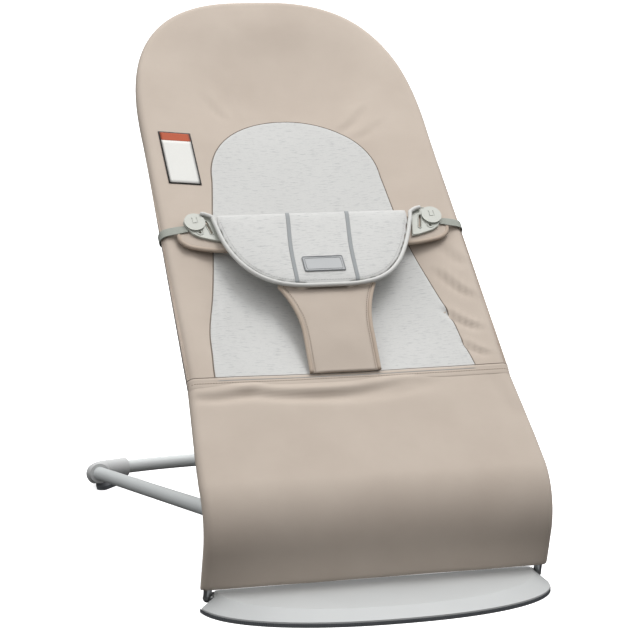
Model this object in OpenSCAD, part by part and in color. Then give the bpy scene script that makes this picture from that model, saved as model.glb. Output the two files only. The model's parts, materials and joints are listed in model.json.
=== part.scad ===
// Soft baby bouncer seat.
// A D-shaped front plate and a low leg frame stand on the floor.  Two spring wires rise from the
// plate, curl round the knee and meet a bracket on each side.  The bracket carries the leg frame
// and the head hoop, and a fabric sling covers the hoop, the knee and the wires.
// +Z is up, +Y points to the back of the seat and +X to its right-hand side.

/* [Base plate] */
// How far the front plate reaches past the sling on either side
base_overhang = 3; // [1:0.5:20]
// Depth of the plate in front of its hinge line
base_d = 107; // [90:1:130]
// Height of the plate's top face at its rear edge
base_h = 21; // [19:0.5:26]
// Height of the top face where the sloped rim meets it at the front
base_front_h = 14.5; // [12:0.5:17]
// Width of the sloped rim band
rim_band = 18; // [10:1:26]
// Thickness of the rubber tread under the plate
tread_t = 4.2; // [3:0.2:6]
// Wall of the moulded plate
plate_wall = 2.6; // [2:0.2:4]

/* [Seat] */
// Angle of the back from the floor in the upright notch
back_angle = 44.7; // [35:0.5:52]
// Distance from the end of the knee bend to the seam across the seat
seam_v = 126; // [110:1:160]
// Length of the straight sides between the seam and the head arch
side_len = 346; // [280:2:380]
// Height of the head arch
arch_h = 228; // [190:2:250]
// Width of the sling over the knee
knee_w = 384; // [350:2:400]
// How much narrower the sling is at the seam
seam_narrows = 16.5; // [4:0.5:50]
// How much narrower the sling is where the head arch starts
arch_narrows = 33; // [12:1:60]
// Depth that the middle of the sling hangs behind its sides
sling_sag = 14; // [4:1:24]
// The same at the seam, where the cloth is drawn tight
seam_sag = 3; // [1:0.5:8]
// Thickness of the fabric sling with its lining
sling_t = 3; // [2:0.5:5]

/* [Frame] */
// Diameter of the spring wires and of the hoop
wire_d = 9; // [7:0.5:11]
// Radius of the wire's bend round the knee
knee_r = 65; // [55:1:80]
// Length of the straight shin between the plate's hinge and the knee bend
shin_len = 54.7; // [48:0.1:66]
// Lean of the shin towards the front
shin_lean = 17.5; // [10:0.5:24]
// Diameter of the leg tubes
tube_d = 17; // [14:0.5:20]
// Distance from the plate's hinge line to the middle of the rear tube
leg_reach = 674.5; // [600:0.5:740]
// Half of the distance between the side tubes at the rear corners
leg_half = 180; // [165:1:200]
// How far the rear tube bows behind its corners
rear_bow = 34.5; // [15:0.5:50]
// Diameter of the knee pivot pins
pin_d = 8; // [6:0.5:9]
// Running clearance of pins and shafts, on the radius
run_gap = 0.05; // [0.02:0.01:0.1]

/* [Restraint] */
// Width of the belt pad along its top edge
pad_w = 232; // [200:2:250]
// Height of the belt pad
pad_h = 113; // [90:2:130]
// Distance from the end of the knee bend to the pad's top edge
pad_top_v = 351; // [330:1:370]
// Thickness of the belt pad
pad_t = 9; // [6:1:14]
// Width of the crotch strap at its waist
strap_w = 84; // [60:2:100]
// Diameter of the toggle discs
toggle_d = 24; // [20:1:28]
// Distance between the two toggle discs
toggle_gap = 282; // [270:1:290]

/* [Hidden] */
$fn = 48;

// Finishes
beige = [0.80, 0.74, 0.67];
melange = [0.86, 0.86, 0.85];
plate_grey = [0.78, 0.79, 0.79];
tube_grey = [0.70, 0.72, 0.71];
foot_grey = [0.58, 0.58, 0.58];
rubber_grey = [0.40, 0.41, 0.43];
buckle_grey = [0.78, 0.79, 0.76];
steel_grey = [0.72, 0.72, 0.73];
black = [0.10, 0.10, 0.10];

// The origin is on the floor, under the middle of the whole length
tube_r = tube_d / 2;
wire_r = wire_d / 2;
pin_r = pin_d / 2;
hinge_y = -(leg_reach + tube_r - base_d) / 2;
hinge_z = 13.5;

// Side line of the seat: shin, knee bend and straight back, measured from the plate's hinge
shin_dir = 90 + shin_lean;
bend_turn = shin_dir - back_angle;
bend_len = knee_r * bend_turn * PI / 180;
bend_start = [hinge_y + shin_len * cos(shin_dir), hinge_z + shin_len * sin(shin_dir)];
bend_c = bend_start + knee_r * [cos(shin_lean), sin(shin_lean)];
back_start = shin_len + bend_len;
seam_s = back_start + seam_v;
arch_v = seam_v + side_len;
apex_v = arch_v + arch_h;

// Angle of the frame at distance s along the side line, and the point there at height h above it
function run_dir(s) =
    s < shin_len ? shin_dir
    : s < back_start ? shin_dir - (s - shin_len) / knee_r * 180 / PI
    : back_angle;
function run_point(s) =
    s < shin_len ? bend_start - (shin_len - s) * [cos(shin_dir), sin(shin_dir)]
    : s < back_start ? bend_c - knee_r * [sin(run_dir(s)), -cos(run_dir(s))]
    : bend_c - knee_r * [sin(back_angle), -cos(back_angle)]
        + (s - back_start) * [cos(back_angle), sin(back_angle)];
function lift(s, h) = run_point(s) + h * [-sin(run_dir(s)), cos(run_dir(s))];
function at_side(x, s, h) = [x, lift(s, h)[0], lift(s, h)[1]];
function at_back(x, v, h) = at_side(x, back_start + v, h);

// Widths that follow the sling over the knee
base_w = knee_w + 2 * base_overhang;
seam_w = knee_w - seam_narrows;
arch_w = knee_w - arch_narrows;

// Half width of the sling along the side line, and of the hoop inside its edge
arch_power = 2.73;
function mix(a, b, t) = a + (b - a) * t;
function arch_share(t) = pow(1 - pow(min(t, 1), arch_power), 1 / arch_power);
function half_w(s) =
    s < back_start ? knee_w / 2
    : s < seam_s ? mix(knee_w, seam_w, (s - back_start) / seam_v) / 2
    : s < back_start + arch_v ? mix(seam_w, arch_w, (s - seam_s) / side_len) / 2
    : arch_w / 2 * arch_share((s - back_start - arch_v) / arch_h);
edge_margin = wire_r + 1.5;
wire_x = knee_w / 2 - edge_margin;
function rail_x(v) = half_w(back_start + v) - edge_margin;

// How far the sling's middle hangs at a place, and the height of its front face
sag_turn = 0.6;
function sag_along(v) =
    v < 0 ? 0
    : v < seam_v ? seam_sag * v / seam_v
    : let (t = min(1, (v - seam_v) / (apex_v - seam_v)))
        mix(seam_sag, 0, t) + sling_sag * sin(180 * pow(t, sag_turn));
function sag_at(x, s) =
    sag_along(s - back_start) * pow(1 - pow(min(1, abs(x) / max(1, half_w(s))), 2), 1.5);
grip_wall = 2.2;
skin_gap = grip_wall + 0.8;
skin_front = wire_r + skin_gap + sling_t;
trim_gap = 1;

// Knee pivot, just inside the bend
pivot_dir = 161;
pivot_inset = 14.2;
pivot = bend_c + (knee_r - pivot_inset) * [cos(pivot_dir), sin(pivot_dir)];
eye_r = 11;
cheek_r = 13;
// Places across the bracket, counted inwards from the wire
outer_face = wire_x - wire_r - 0.5;
outer_in = outer_face - 4.7;
arm_out = outer_in - 0.3;
arm_in = arm_out - 6;
leg_out = arm_in - 0.3;
leg_in = leg_out - 11.4;
inner_out = leg_in - 0.3;
inner_in = inner_out - 5;
leg_x = (leg_in + leg_out) / 2;
recline_spot = pivot + 20.5 * [cos(-76), sin(-76)];
button_r = 5;

// Rear corners of the leg frame
rear_z = 17;
corner_y = hinge_y + leg_reach - rear_bow;
bow_r = (leg_half * leg_half + rear_bow * rear_bow) / (2 * rear_bow);
bow_y = hinge_y + leg_reach - bow_r;
corner_turn = asin(leg_half / bow_r);
elbow_bend_r = 28;
elbow_run = elbow_bend_r * tan((90 - corner_turn) / 2);
sleeve_r = tube_r + 4;
foot_floor = 5;
leg_start = [leg_x, pivot[0], pivot[1]];
leg_corner = [leg_half, corner_y, rear_z];
leg_vector = leg_corner - leg_start;
leg_axis = leg_vector / norm(leg_vector);
leg_eye_gap = 24;

// ---------- helpers ----------

// A straight round bar from p to q
module rod(p, q, r) {
    d = q - p;
    translate(p)
        rotate([0, acos(d[2] / norm(d)), atan2(d[1], d[0])])
            cylinder(h = norm(d), r = r);
}

// Things drawn in the side plane: drawing x runs along Y, drawing y along Z, height along X
module side_plane(x) {
    translate([x, 0, 0]) rotate([90, 0, 90]) children();
}

// Things drawn on the back: drawing x stays X, drawing y runs up the back, height stands off it
module on_back(h) {
    translate(at_back(0, 0, h)) rotate([back_angle, 0, 0]) children();
}

// The right-hand piece for k = 1 and its mirror image for k = -1
module on_side(k) {
    if (k < 0) mirror([1, 0, 0]) children();
    else children();
}

// A round bar swept along a list of points in one plane, whose normal is flat
module swept(points, r, flat, sides = 10) {
    n = len(points);
    dirs = [for (i = [0:n - 1]) let (d = points[min(i + 1, n - 1)] - points[max(i - 1, 0)]) d / norm(d)];
    rings = [for (i = [0:n - 1]) let (side = cross(flat, dirs[i]))
        for (j = [0:sides - 1]) let (a = 360 * j / sides)
            points[i] + r * (cos(a) * side / norm(side) + sin(a) * flat)];
    faces = concat(
        [[for (j = [0:sides - 1]) j]],
        [for (i = [0:n - 2], j = [0:sides - 1]) let (k = (j + 1) % sides)
            [i * sides + j, (i + 1) * sides + j, (i + 1) * sides + k, i * sides + k]],
        [[for (j = [sides - 1:-1:0]) (n - 1) * sides + j]]);
    polyhedron(rings, faces, convexity = 6);
}

// A closed sheet: place(u, s, side) gives its front face for side = 1 and its back for side = 0
module sheet(place, us, ss) {
    a = len(us);
    b = len(ss);
    points = [for (side = [1, 0], s = ss, u = us) place(u, s, side)];
    half = a * b;
    top = [for (j = [0:b - 2], i = [0:a - 2])
        [j * a + i, (j + 1) * a + i, (j + 1) * a + i + 1, j * a + i + 1]];
    bottom = [for (f = top) [half + f[3], half + f[2], half + f[1], half + f[0]]];
    ends = [for (i = [0:a - 2]) each [
        [i, i + 1, half + i + 1, half + i],
        [(b - 1) * a + i + 1, (b - 1) * a + i, half + (b - 1) * a + i, half + (b - 1) * a + i + 1]]];
    sides = [for (j = [0:b - 2]) each [
        [(j + 1) * a, j * a, half + j * a, half + (j + 1) * a],
        [j * a + a - 1, (j + 1) * a + a - 1, half + (j + 1) * a + a - 1, half + j * a + a - 1]]];
    polyhedron(points, concat(top, bottom, ends, sides), convexity = 8);
}
function steps(from, to, n) = [for (i = [0:n]) mix(from, to, i / n)];
across = steps(-1, 1, 12);

// ---------- base plate ----------

// The D outline: a superellipse in front of the hinge line and a short straight part behind it
base_back = 7;
base_power = 2.21;
function d_outline(inset) = let (a = base_w / 2 - inset, b = base_d - inset) concat(
    [for (i = [0:40]) let (t = 180 * i / 40)
        [a * sign(cos(t)) * pow(abs(cos(t)), 2 / base_power), -b * pow(sin(t), 2 / base_power)]],
    [[-(a - 5), base_back - inset / 3], [a - 5, base_back - inset / 3]]);
module d_slab(inset, z, h) {
    translate([0, hinge_y, z]) linear_extrude(h) polygon(d_outline(inset));
}
// The plate's outer form, or the hollow inside a wall
module plate_form(wall) {
    tilt = atan((base_h - base_front_h) / (base_d - rim_band));
    hull() {
        d_slab(wall, tread_t - (wall > 0 ? 1 : 0), 1.6);
        translate([0, hinge_y, base_h - wall - 0.1])
            rotate([tilt, 0, 0])
                linear_extrude(0.1) polygon(d_outline(rim_band + wall / 2));
    }
}
bush_r = 6;
bush_len = 14;
notch_x = wire_x - wire_r - 1;
bush_in = notch_x - bush_len;
screw_spots = [[-120, -20], [120, -20], [-52, -72], [52, -72]];
screw_r = 1.8;
boss_r = 5;
module base_plate() {
    color(plate_grey) difference() {
        union() {
            difference() {
                plate_form(0);
                plate_form(plate_wall);
            }
            intersection() {
                plate_form(0);
                union() {
                    for (k = [-1, 1])
                        translate([k * (notch_x - 17), hinge_y - 2, tread_t + 7])
                            cube([34, 17, 14], center = true);
                    for (p = screw_spots)
                        translate([p[0], hinge_y + p[1], tread_t]) cylinder(h = 20, r = boss_r);
                }
            }
        }
        for (k = [-1, 1]) on_side(k) {
            rod([bush_in - 12, hinge_y, hinge_z], [notch_x + 30, hinge_y, hinge_z], wire_r + run_gap);
            rod([bush_in, hinge_y, hinge_z], [notch_x + 30, hinge_y, hinge_z], bush_r + run_gap);
            translate([notch_x, hinge_y - 10, -1]) cube([40, 40, 60]);
        }
        for (p = screw_spots)
            translate([p[0], hinge_y + p[1], tread_t - 1]) cylinder(h = 8, r = screw_r + run_gap);
    }
}

tread_w = 16;
module base_tread() {
    color(rubber_grey) difference() {
        d_slab(0, 0, tread_t);
        translate([0, 0, -1]) d_slab(tread_w, 0, tread_t + 2);
        for (k = [-1, 1]) on_side(k)
            translate([notch_x, hinge_y - 10, -1]) cube([40, 40, 60]);
    }
}

cover_gap = 0.4;
cover_t = 2.4;
module base_bottom_cover() {
    color(rubber_grey) difference() {
        d_slab(tread_w + cover_gap, tread_t - cover_t, cover_t);
        for (p = screw_spots)
            translate([p[0], hinge_y + p[1], -1]) cylinder(h = 20, r = screw_r + 0.3);
    }
}

screw_head_r = 3.4;
screw_head_t = 1.3;
module base_screws() {
    color(steel_grey) for (p = screw_spots) translate([p[0], hinge_y + p[1], 0]) {
        translate([0, 0, tread_t - cover_t - screw_head_t])
            cylinder(h = screw_head_t, r = screw_head_r);
        translate([0, 0, tread_t - cover_t]) cylinder(h = 8, r = screw_r);
    }
}

module hinge_bush(k) {
    color(black) on_side(k) difference() {
        rod([bush_in + 0.1, hinge_y, hinge_z], [notch_x, hinge_y, hinge_z], bush_r);
        rod([bush_in - 1, hinge_y, hinge_z], [notch_x + 1, hinge_y, hinge_z], wire_r + run_gap);
    }
}

// ---------- spring wires and knee brackets ----------

spring_top_dir = 158;
module bend_ring(r, from, to) {
    side_plane(wire_x)
        translate(bend_c) rotate([0, 0, from])
            rotate_extrude(angle = to - from) translate([knee_r, 0]) circle(r = r);
}
module knee_spring(k) {
    foot = [wire_x, hinge_y, hinge_z];
    top_s = shin_len + knee_r * (shin_lean + 180 - spring_top_dir) * PI / 180;
    path = [for (s = concat([0, shin_len / 2], steps(shin_len, top_s, 24))) at_side(wire_x, s, 0)];
    color(steel_grey) on_side(k) {
        rod([bush_in - 8, hinge_y, hinge_z], foot, wire_r);
        translate(foot) sphere(r = wire_r + 0.3);
        swept(path, wire_r, [1, 0, 0], 16);
    }
}

hem_rod_r = 3;
hem_s = 16;
module hem_rod() {
    color(steel_grey)
        rod(at_side(-notch_x - 0.8, hem_s, 0), at_side(notch_x + 0.8, hem_s, 0), hem_rod_r);
}

grip_r = wire_r + grip_wall;
module bracket_outer(k) {
    color(foot_grey) on_side(k) difference() {
        union() {
            side_plane(outer_in) translate(pivot) cylinder(h = wire_x - outer_in, r = cheek_r);
            side_plane(outer_in) translate(recline_spot) cylinder(h = 7, r = cheek_r - 4);
            bend_ring(grip_r, spring_top_dir - 3, 184);
        }
        bend_ring(wire_r + 2 * run_gap, spring_top_dir - 0.2, 200);
        side_plane(outer_in - 1) translate(pivot) cylinder(h = 8, r = pin_r + run_gap);
        side_plane(outer_in - 1) translate(recline_spot) cylinder(h = 6, r = screw_r + run_gap);
    }
}
module bracket_inner(k) {
    color(foot_grey) on_side(k) difference() {
        union() {
            side_plane(inner_in) hull() {
                translate(pivot) cylinder(h = inner_out - inner_in, r = cheek_r, $fn = 32);
                translate(recline_spot) cylinder(h = inner_out - inner_in, r = cheek_r - 4, $fn = 32);
            }
            side_plane(inner_in) translate(recline_spot)
                cylinder(h = outer_in - 0.05 - inner_in, r = button_r + 2.4);
        }
        side_plane(inner_in - 1) translate(pivot) cylinder(h = 12, r = pin_r + run_gap);
        side_plane(inner_in - 1) translate(recline_spot) cylinder(h = 17, r = button_r + run_gap);
    }
}
module pivot_pin(k) {
    color(steel_grey) on_side(k) {
        side_plane(inner_in - 1.6) translate(pivot) cylinder(h = 1.6, r = pin_r + 2);
        side_plane(inner_in) translate(pivot) cylinder(h = outer_in + 6.5 - inner_in, r = pin_r);
    }
}
button_travel = 3;
module recline_button(k) {
    color(black) on_side(k) {
        side_plane(inner_in - 5) translate(recline_spot) cylinder(h = 12, r = button_r);
        side_plane(inner_in - 6.2) translate(recline_spot) cylinder(h = 1.2, r = button_r - 0.8);
    }
}

// ---------- leg frame ----------

module leg_end(k) {
    from = leg_start + leg_axis * (eye_r - 1.5);
    to = leg_start + leg_axis * (leg_eye_gap + 18);
    color(foot_grey) on_side(k) difference() {
        union() {
            side_plane(leg_in) translate(pivot) cylinder(h = leg_out - leg_in, r = eye_r);
            rod(from, leg_start + leg_axis * leg_eye_gap, 5.6);
            rod(leg_start + leg_axis * (leg_eye_gap - 4), to, tube_r - 1.6);
        }
        side_plane(leg_in - 1) translate(pivot)
            cylinder(h = leg_out - leg_in + 2, r = pin_r + run_gap);
    }
}
leg_tube_to = leg_corner - leg_axis * elbow_run;
module leg_tube(k) {
    color(tube_grey) on_side(k) difference() {
        rod(leg_start + leg_axis * (leg_eye_gap + 0.2), leg_tube_to, tube_r);
        rod(leg_start + leg_axis * (leg_eye_gap - 5), leg_tube_to + leg_axis * 5, tube_r - 1.5);
    }
}
elbow_angle = elbow_run / bow_r * 180 / PI;
module bow_ring(r, from, to) {
    translate([0, bow_y, rear_z]) rotate([0, 0, from])
        rotate_extrude(angle = to - from) translate([bow_r, 0]) circle(r = r);
}
module rear_cross_tube() {
    first = 90 - corner_turn + elbow_angle;
    color(tube_grey) difference() {
        bow_ring(tube_r, first, 180 - first);
        bow_ring(tube_r - 1.5, first - 1, 181 - first);
    }
}
sleeve_side = 20;
sleeve_rear = 30;
sleeve_rear_angle = sleeve_rear / bow_r * 180 / PI;
bend_axis = [leg_half - elbow_bend_r, corner_y - elbow_run];
module corner_foot(k) {
    bend_mid = [bend_axis[0], bend_axis[1], rear_z];
    first = 90 - corner_turn + elbow_angle;
    side_end = leg_tube_to - leg_axis * sleeve_side;
    color(foot_grey) on_side(k) difference() {
        union() {
            rod(side_end, leg_tube_to + leg_axis * 0.5, sleeve_r);
            translate(bend_mid) rotate_extrude(angle = 90 - corner_turn)
                translate([elbow_bend_r, 0]) circle(r = sleeve_r);
            bow_ring(sleeve_r, first - 0.05, first + sleeve_rear_angle);
        }
        rod(side_end - leg_axis, leg_tube_to + leg_axis * 0.1, tube_r + run_gap);
        bow_ring(tube_r + run_gap, first - 0.01, first + sleeve_rear_angle + 1);
        translate([leg_half - 120, corner_y - 120, foot_floor - 40]) cube([200, 240, 40]);
    }
}
module foot_pad(k) {
    color(rubber_grey) on_side(k) hull() {
        translate([leg_half - 5, corner_y - elbow_run - 14, 0]) cylinder(h = foot_floor, r = 7, $fn = 32);
        translate([leg_half - 9, corner_y - 12, 0]) cylinder(h = foot_floor, r = 8, $fn = 32);
        translate([leg_half - 36, corner_y + 2, 0]) cylinder(h = foot_floor, r = 7, $fn = 32);
    }
}

// ---------- head hoop ----------

arm_top_v = 46;
joint_v = 270;
socket_r = wire_r + grip_wall;
module seat_arm(k) {
    color(foot_grey) on_side(k) difference() {
        union() {
            side_plane(arm_in) {
                translate(pivot) cylinder(h = arm_out - arm_in, r = eye_r);
                linear_extrude(arm_out - arm_in)
                    polygon([pivot + [-6, 0], pivot + [7, -2], lift(back_start + 14, -5),
                        lift(back_start + 4, 5), lift(back_start - 4, 5)]);
                linear_extrude(rail_x(0) - arm_in)
                    polygon([for (c = [[-4, -5], [16, -5], [16, 5], [-4, 5]]) lift(back_start + c[0], c[1])]);
            }
            rod(at_back(rail_x(-4), -4, 0), at_back(rail_x(arm_top_v), arm_top_v, 0), socket_r);
        }
        rod(at_back(rail_x(0), 0, 0), at_back(rail_x(arm_top_v + 5), arm_top_v + 5, 0), wire_r + run_gap);
        side_plane(arm_in - 1) translate(pivot)
            cylinder(h = arm_out - arm_in + 2, r = pin_r + run_gap);
    }
}
module side_rail(k) {
    color(steel_grey) on_side(k) difference() {
        union() {
            rod(at_back(rail_x(0), 0.3, 0), at_back(rail_x(seam_v), seam_v, 0), wire_r);
            translate(at_back(rail_x(seam_v), seam_v, 0)) sphere(r = wire_r + 0.3);
            rod(at_back(rail_x(seam_v), seam_v, 0), at_back(rail_x(joint_v), joint_v, 0), wire_r);
        }
        rod(at_back(rail_x(snap_v) - 10, snap_v, 0), at_back(rail_x(snap_v) + 1, snap_v, 0), snap_r + run_gap);
    }
}
hoop_turns = steps(-90, 90, 44);
function hoop_point(t) = at_back(
    (arch_w / 2 - edge_margin) * sign(t) * pow(abs(sin(t)), 2 / arch_power),
    arch_v + (arch_h - edge_margin) * pow(cos(t), 2 / arch_power), 0);
hoop_path = concat(
    [for (v = steps(joint_v + 0.3, arch_v - 20, 3)) at_back(-rail_x(v), v, 0)],
    [for (t = hoop_turns) hoop_point(t)],
    [for (v = steps(arch_v - 20, joint_v + 0.3, 3)) at_back(rail_x(v), v, 0)]);
module head_hoop() {
    color(steel_grey) swept(hoop_path, wire_r, [0, -sin(back_angle), cos(back_angle)]);
}
snap_v = 258;
snap_r = 2;
sleeve_half = 24;
module hoop_sleeve(k) {
    low = joint_v - sleeve_half;
    high = joint_v + sleeve_half;
    color(black) on_side(k) difference() {
        rod(at_back(rail_x(low), low, 0), at_back(rail_x(high), high, 0), wire_r + 0.4);
        rod(at_back(rail_x(low - 5), low - 5, 0), at_back(rail_x(high + 5), high + 5, 0), wire_r + 0.02);
        rod(at_back(rail_x(snap_v) - 10, snap_v, 0), at_back(rail_x(snap_v), snap_v, 0), snap_r + run_gap);
    }
}
snap_travel = 1.5;
module snap_button(k) {
    x = rail_x(snap_v);
    color(steel_grey) on_side(k)
        rod(at_back(x - wire_r - 2.2, snap_v, 0), at_back(x - 2, snap_v, 0), snap_r);
}

// ---------- fabric sling ----------

function sling_point(x, s, side) =
    at_side(x, s, skin_front - (1 - side) * sling_t - sag_at(x, s));
cover_edge_gap = 1;
// Rows of the sling from the seam to the arch, closest together where its hang changes fastest
sling_rows = [for (i = [1:12]) mix(seam_v, arch_v, pow(i / 12, 1.5))];
module seat_cover() {
    rows = concat(
        [seam_s + cover_edge_gap / 2], [for (v = sling_rows) back_start + v],
        [for (t = steps(8, 88, 10)) back_start + arch_v + arch_h * pow(sin(t), 2 / arch_power)]);
    color(beige) sheet(function(u, s, side) sling_point(u * half_w(s), s, side), across, rows);
}
module lower_panel() {
    rows = steps(panel_split + 1.5, seam_s - cover_edge_gap / 2, 12);
    color(beige) sheet(function(u, s, side) sling_point(u * half_w(s), s, side), across, rows);
}
panel_split = shin_len + knee_r * (shin_lean + 180 - pivot_dir) * PI / 180;
module knee_panel() {
    rows = steps(hem_s, panel_split - 1.5, 10);
    color(beige) sheet(function(u, s, side) sling_point(u * half_w(s), s, side), across, rows);
}

// Inset panel of the second fabric, wider at the seam than at its round top
inset_low_w = 290;
inset_high_w = 200;
inset_arch_v = 418;
inset_top_v = 512;
function inset_half(v) =
    v < inset_arch_v
        ? mix(inset_low_w, inset_high_w, (v - seam_v) / (inset_arch_v - seam_v)) / 2
        : inset_high_w / 2 * sqrt(max(0, 1 - pow((v - inset_arch_v) / (inset_top_v - inset_arch_v), 2)));
inset_t = 1.2;
module inset_panel() {
    low = seam_v + hem_w / 2 + 1;
    rows = concat([low], [for (v = sling_rows) if (v > low + 4 && v < inset_arch_v - 4) v], [inset_arch_v],
        [for (t = steps(10, 82, 7)) inset_arch_v + (inset_top_v - inset_arch_v) * sin(t)]);
    color(melange) sheet(function(u, v, side)
        let (x = u * inset_half(v), s = back_start + v)
            at_side(x, s, skin_front + trim_gap + side * inset_t - sag_at(x, s)), across, rows);
}
hem_w = 12;
hem_t = 1;
module hem_band() {
    rows = steps(seam_s - hem_w / 2, seam_s + hem_w / 2, 2);
    color(beige) sheet(function(u, s, side)
        let (x = u * (half_w(s) - 1))
            at_side(x, s, skin_front + trim_gap + side * hem_t - sag_at(x, s)), across, rows);
}
tag_x = [-157, -117];
tag_v = [412, 484];
tag_t = 0.8;
module side_tag() {
    color([0.93, 0.93, 0.92]) sheet(function(u, v, side)
        let (x = u, s = back_start + v)
            at_side(x, s, skin_front + trim_gap + side * tag_t - sag_at(x, s)),
        steps(tag_x[0], tag_x[1], 3), steps(tag_v[0], tag_v[1], 3));
}

// ---------- restraint ----------

// Height of the restraint's back above the frame line: it stands off most at the pad's lower edge
belt_low_h = 25;
belt_high_h = 17;
crotch_t = 3.5;
strap_foot_h = skin_front + trim_gap + inset_t + 1.6 + crotch_t - seam_sag;
pad_low_v = pad_top_v - pad_h;
flap_v = seam_v + hem_w / 2 + 0.5;
function belt_h(v) =
    v < pad_low_v
        ? mix(strap_foot_h, belt_low_h, sin(90 * (v - flap_v) / (pad_low_v - flap_v)))
        : mix(belt_low_h, belt_high_h, (v - pad_low_v) / pad_h);
function pad_half(v) = pad_w / 2 * pow(max(0, 1 - pow((pad_top_v - v) / pad_h, 3)), 0.4545);
module belt_pad() {
    rows = [for (t = [0, 0.18, 0.36, 0.54, 0.7, 0.82, 0.91, 0.97, 0.995]) pad_top_v - t * pad_h];
    color(melange) sheet(function(u, v, side)
        let (crown = side * pad_t * (1 - 0.45 * pow(abs(u), 4)))
            at_back(u * pad_half(v), v, belt_h(v) + crown), across, [for (i = [8:-1:0]) rows[i]]);
}
label_w = 48;
label_h = 22;
label_v = 268;
module pad_label() {
    color(buckle_grey) sheet(function(u, v, side)
        at_back(u, v, belt_h(v) + pad_t + 0.1 + side * 0.9),
        steps(-label_w / 2, label_w / 2, 2), steps(label_v - label_h / 2, label_v + label_h / 2, 2));
}
strap_top_w = 116;
function strap_half(v) =
    let (t = (v - flap_v) / (pad_low_v + 6 - flap_v))
        strap_w / 2 + (strap_top_w - strap_w) / 2 * pow(max(0, (t - 0.45) / 0.55), 2);
module crotch_strap() {
    rows = steps(flap_v + 0.5, pad_low_v + 8, 9);
    color(beige) sheet(function(u, v, side)
        at_back(u * strap_half(v), v, belt_h(v) - 0.4 - (1 - side) * crotch_t), across, rows);
}
wing_t = 4;
module wing(k) {
    color(beige) on_side(k) on_back(0) translate([0, 0, belt_wing_h])
        linear_extrude(wing_t)
            polygon([[96, 303], [118, 304], [136, 307], [151, 311], [158, 318], [160, 328], [153, 336], [140, 339], [96, 339]]);
}
belt_wing_h = skin_front + 1.2;

// Buckle plate: a leaf-shaped moulding whose round nose lies under the toggle disc
toggle_x = toggle_gap / 2;
toggle_v = 341;
nose_r = 12.5;
plate_t = 2.4;
buckle_h = belt_wing_h + wing_t + 0.6;
neck_r = 2.4;
module buckle_plate(k) {
    color(buckle_grey) on_side(k) on_back(buckle_h) difference() {
        union() {
            translate([toggle_x, toggle_v, 0]) cylinder(h = plate_t, r = nose_r);
            linear_extrude(plate_t) polygon([for (c = [
                [0, nose_r], [-13, 14], [-19, 12.5], [-22.5, 9.5], [-29.5, -28], [-22, -27], [-12, -24],
                [-2, -20.5], [5, -15.5], [9.6, -8]]) [toggle_x, toggle_v] + c]);
        }
        translate([toggle_x, toggle_v, -1]) cylinder(h = plate_t + 2, r = neck_r + run_gap);
        translate([toggle_x - 4.2, toggle_v - 13.6, -1]) cylinder(h = plate_t + 2, r = 1.7);
        translate([toggle_x - 15.5, toggle_v - 7.5, -1]) rotate([0, 0, -14])
            translate([-1.3, -9.5, 0]) cube([2.6, 19, plate_t + 2]);
    }
}
disc_t = 2.2;
disc_gap = 0.5;
module toggle(k) {
    disc_low = plate_t + disc_gap;
    color(buckle_grey) on_side(k) on_back(buckle_h) translate([toggle_x, toggle_v, 0]) difference() {
        union() {
            translate([0, 0, disc_low]) cylinder(h = disc_t, r = toggle_d / 2);
            translate([0, 0, -0.3]) cylinder(h = disc_low + 1.3, r = neck_r);
        }
        translate([-3.4, -1.4, disc_low + disc_t - 0.6]) cube([1.3, 7, 2]);
        translate([2.1, -1.4, disc_low + disc_t - 0.6]) cube([1.3, 7, 2]);
        translate([-3.4, -2.6, disc_low + disc_t - 0.6]) cube([6.8, 1.3, 2]);
    }
}
elastic_w = 11;
elastic_t = 1.2;
module elastic(k) {
    x0 = toggle_x + nose_r + 0.8;
    x1 = half_w(back_start + toggle_v) + 0.8;
    h0 = buckle_h + 1;
    h1 = -wire_r - 1;
    color(buckle_grey) on_side(k) translate(at_back(0, toggle_v - elastic_w - 2, 0))
        rotate([back_angle + 90, 0, 0]) mirror([0, 0, 1]) linear_extrude(elastic_w)
            polygon([
                [x0, h0 + elastic_t], [x1, skin_front + 2], [x1 + elastic_t, skin_front],
                [x1 + elastic_t, h1 - elastic_t], [x1 - 26, h1 - elastic_t], [x1 - 26, h1],
                [x1, h1], [x1, skin_front - 0.6], [x1 - 1.2, skin_front + 0.6], [x0, h0]]);
}

base_plate();
base_tread();
base_bottom_cover();
base_screws();
hinge_bush(-1);  // left_hinge_bush
hinge_bush(1);  // right_hinge_bush
knee_spring(-1);  // left_knee_spring
knee_spring(1);  // right_knee_spring
hem_rod();
knee_panel();
bracket_inner(-1);  // left_bracket_inner
bracket_inner(1);  // right_bracket_inner
bracket_outer(-1);  // left_bracket_outer
bracket_outer(1);  // right_bracket_outer
pivot_pin(-1);  // left_pivot_pin
pivot_pin(1);  // right_pivot_pin
recline_button(-1);  // left_recline_button
recline_button(1);  // right_recline_button
leg_end(-1);  // left_leg_end
leg_end(1);  // right_leg_end
leg_tube(-1);  // left_leg_tube
leg_tube(1);  // right_leg_tube
rear_cross_tube();
corner_foot(-1);  // left_corner_foot
corner_foot(1);  // right_corner_foot
foot_pad(-1);  // left_foot_pad
foot_pad(1);  // right_foot_pad
seat_arm(-1);  // left_seat_arm
seat_arm(1);  // right_seat_arm
side_rail(-1);  // left_side_rail
side_rail(1);  // right_side_rail
head_hoop();
hoop_sleeve(-1);  // left_hoop_sleeve
hoop_sleeve(1);  // right_hoop_sleeve
snap_button(-1);  // left_snap_button
snap_button(1);  // right_snap_button
seat_cover();
inset_panel();
lower_panel();
hem_band();
side_tag();
elastic(-1);  // left_elastic
elastic(1);  // right_elastic
belt_pad();
pad_label();
crotch_strap();
wing(-1);  // left_wing
wing(1);  // right_wing
buckle_plate(-1);  // left_buckle_plate
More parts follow.
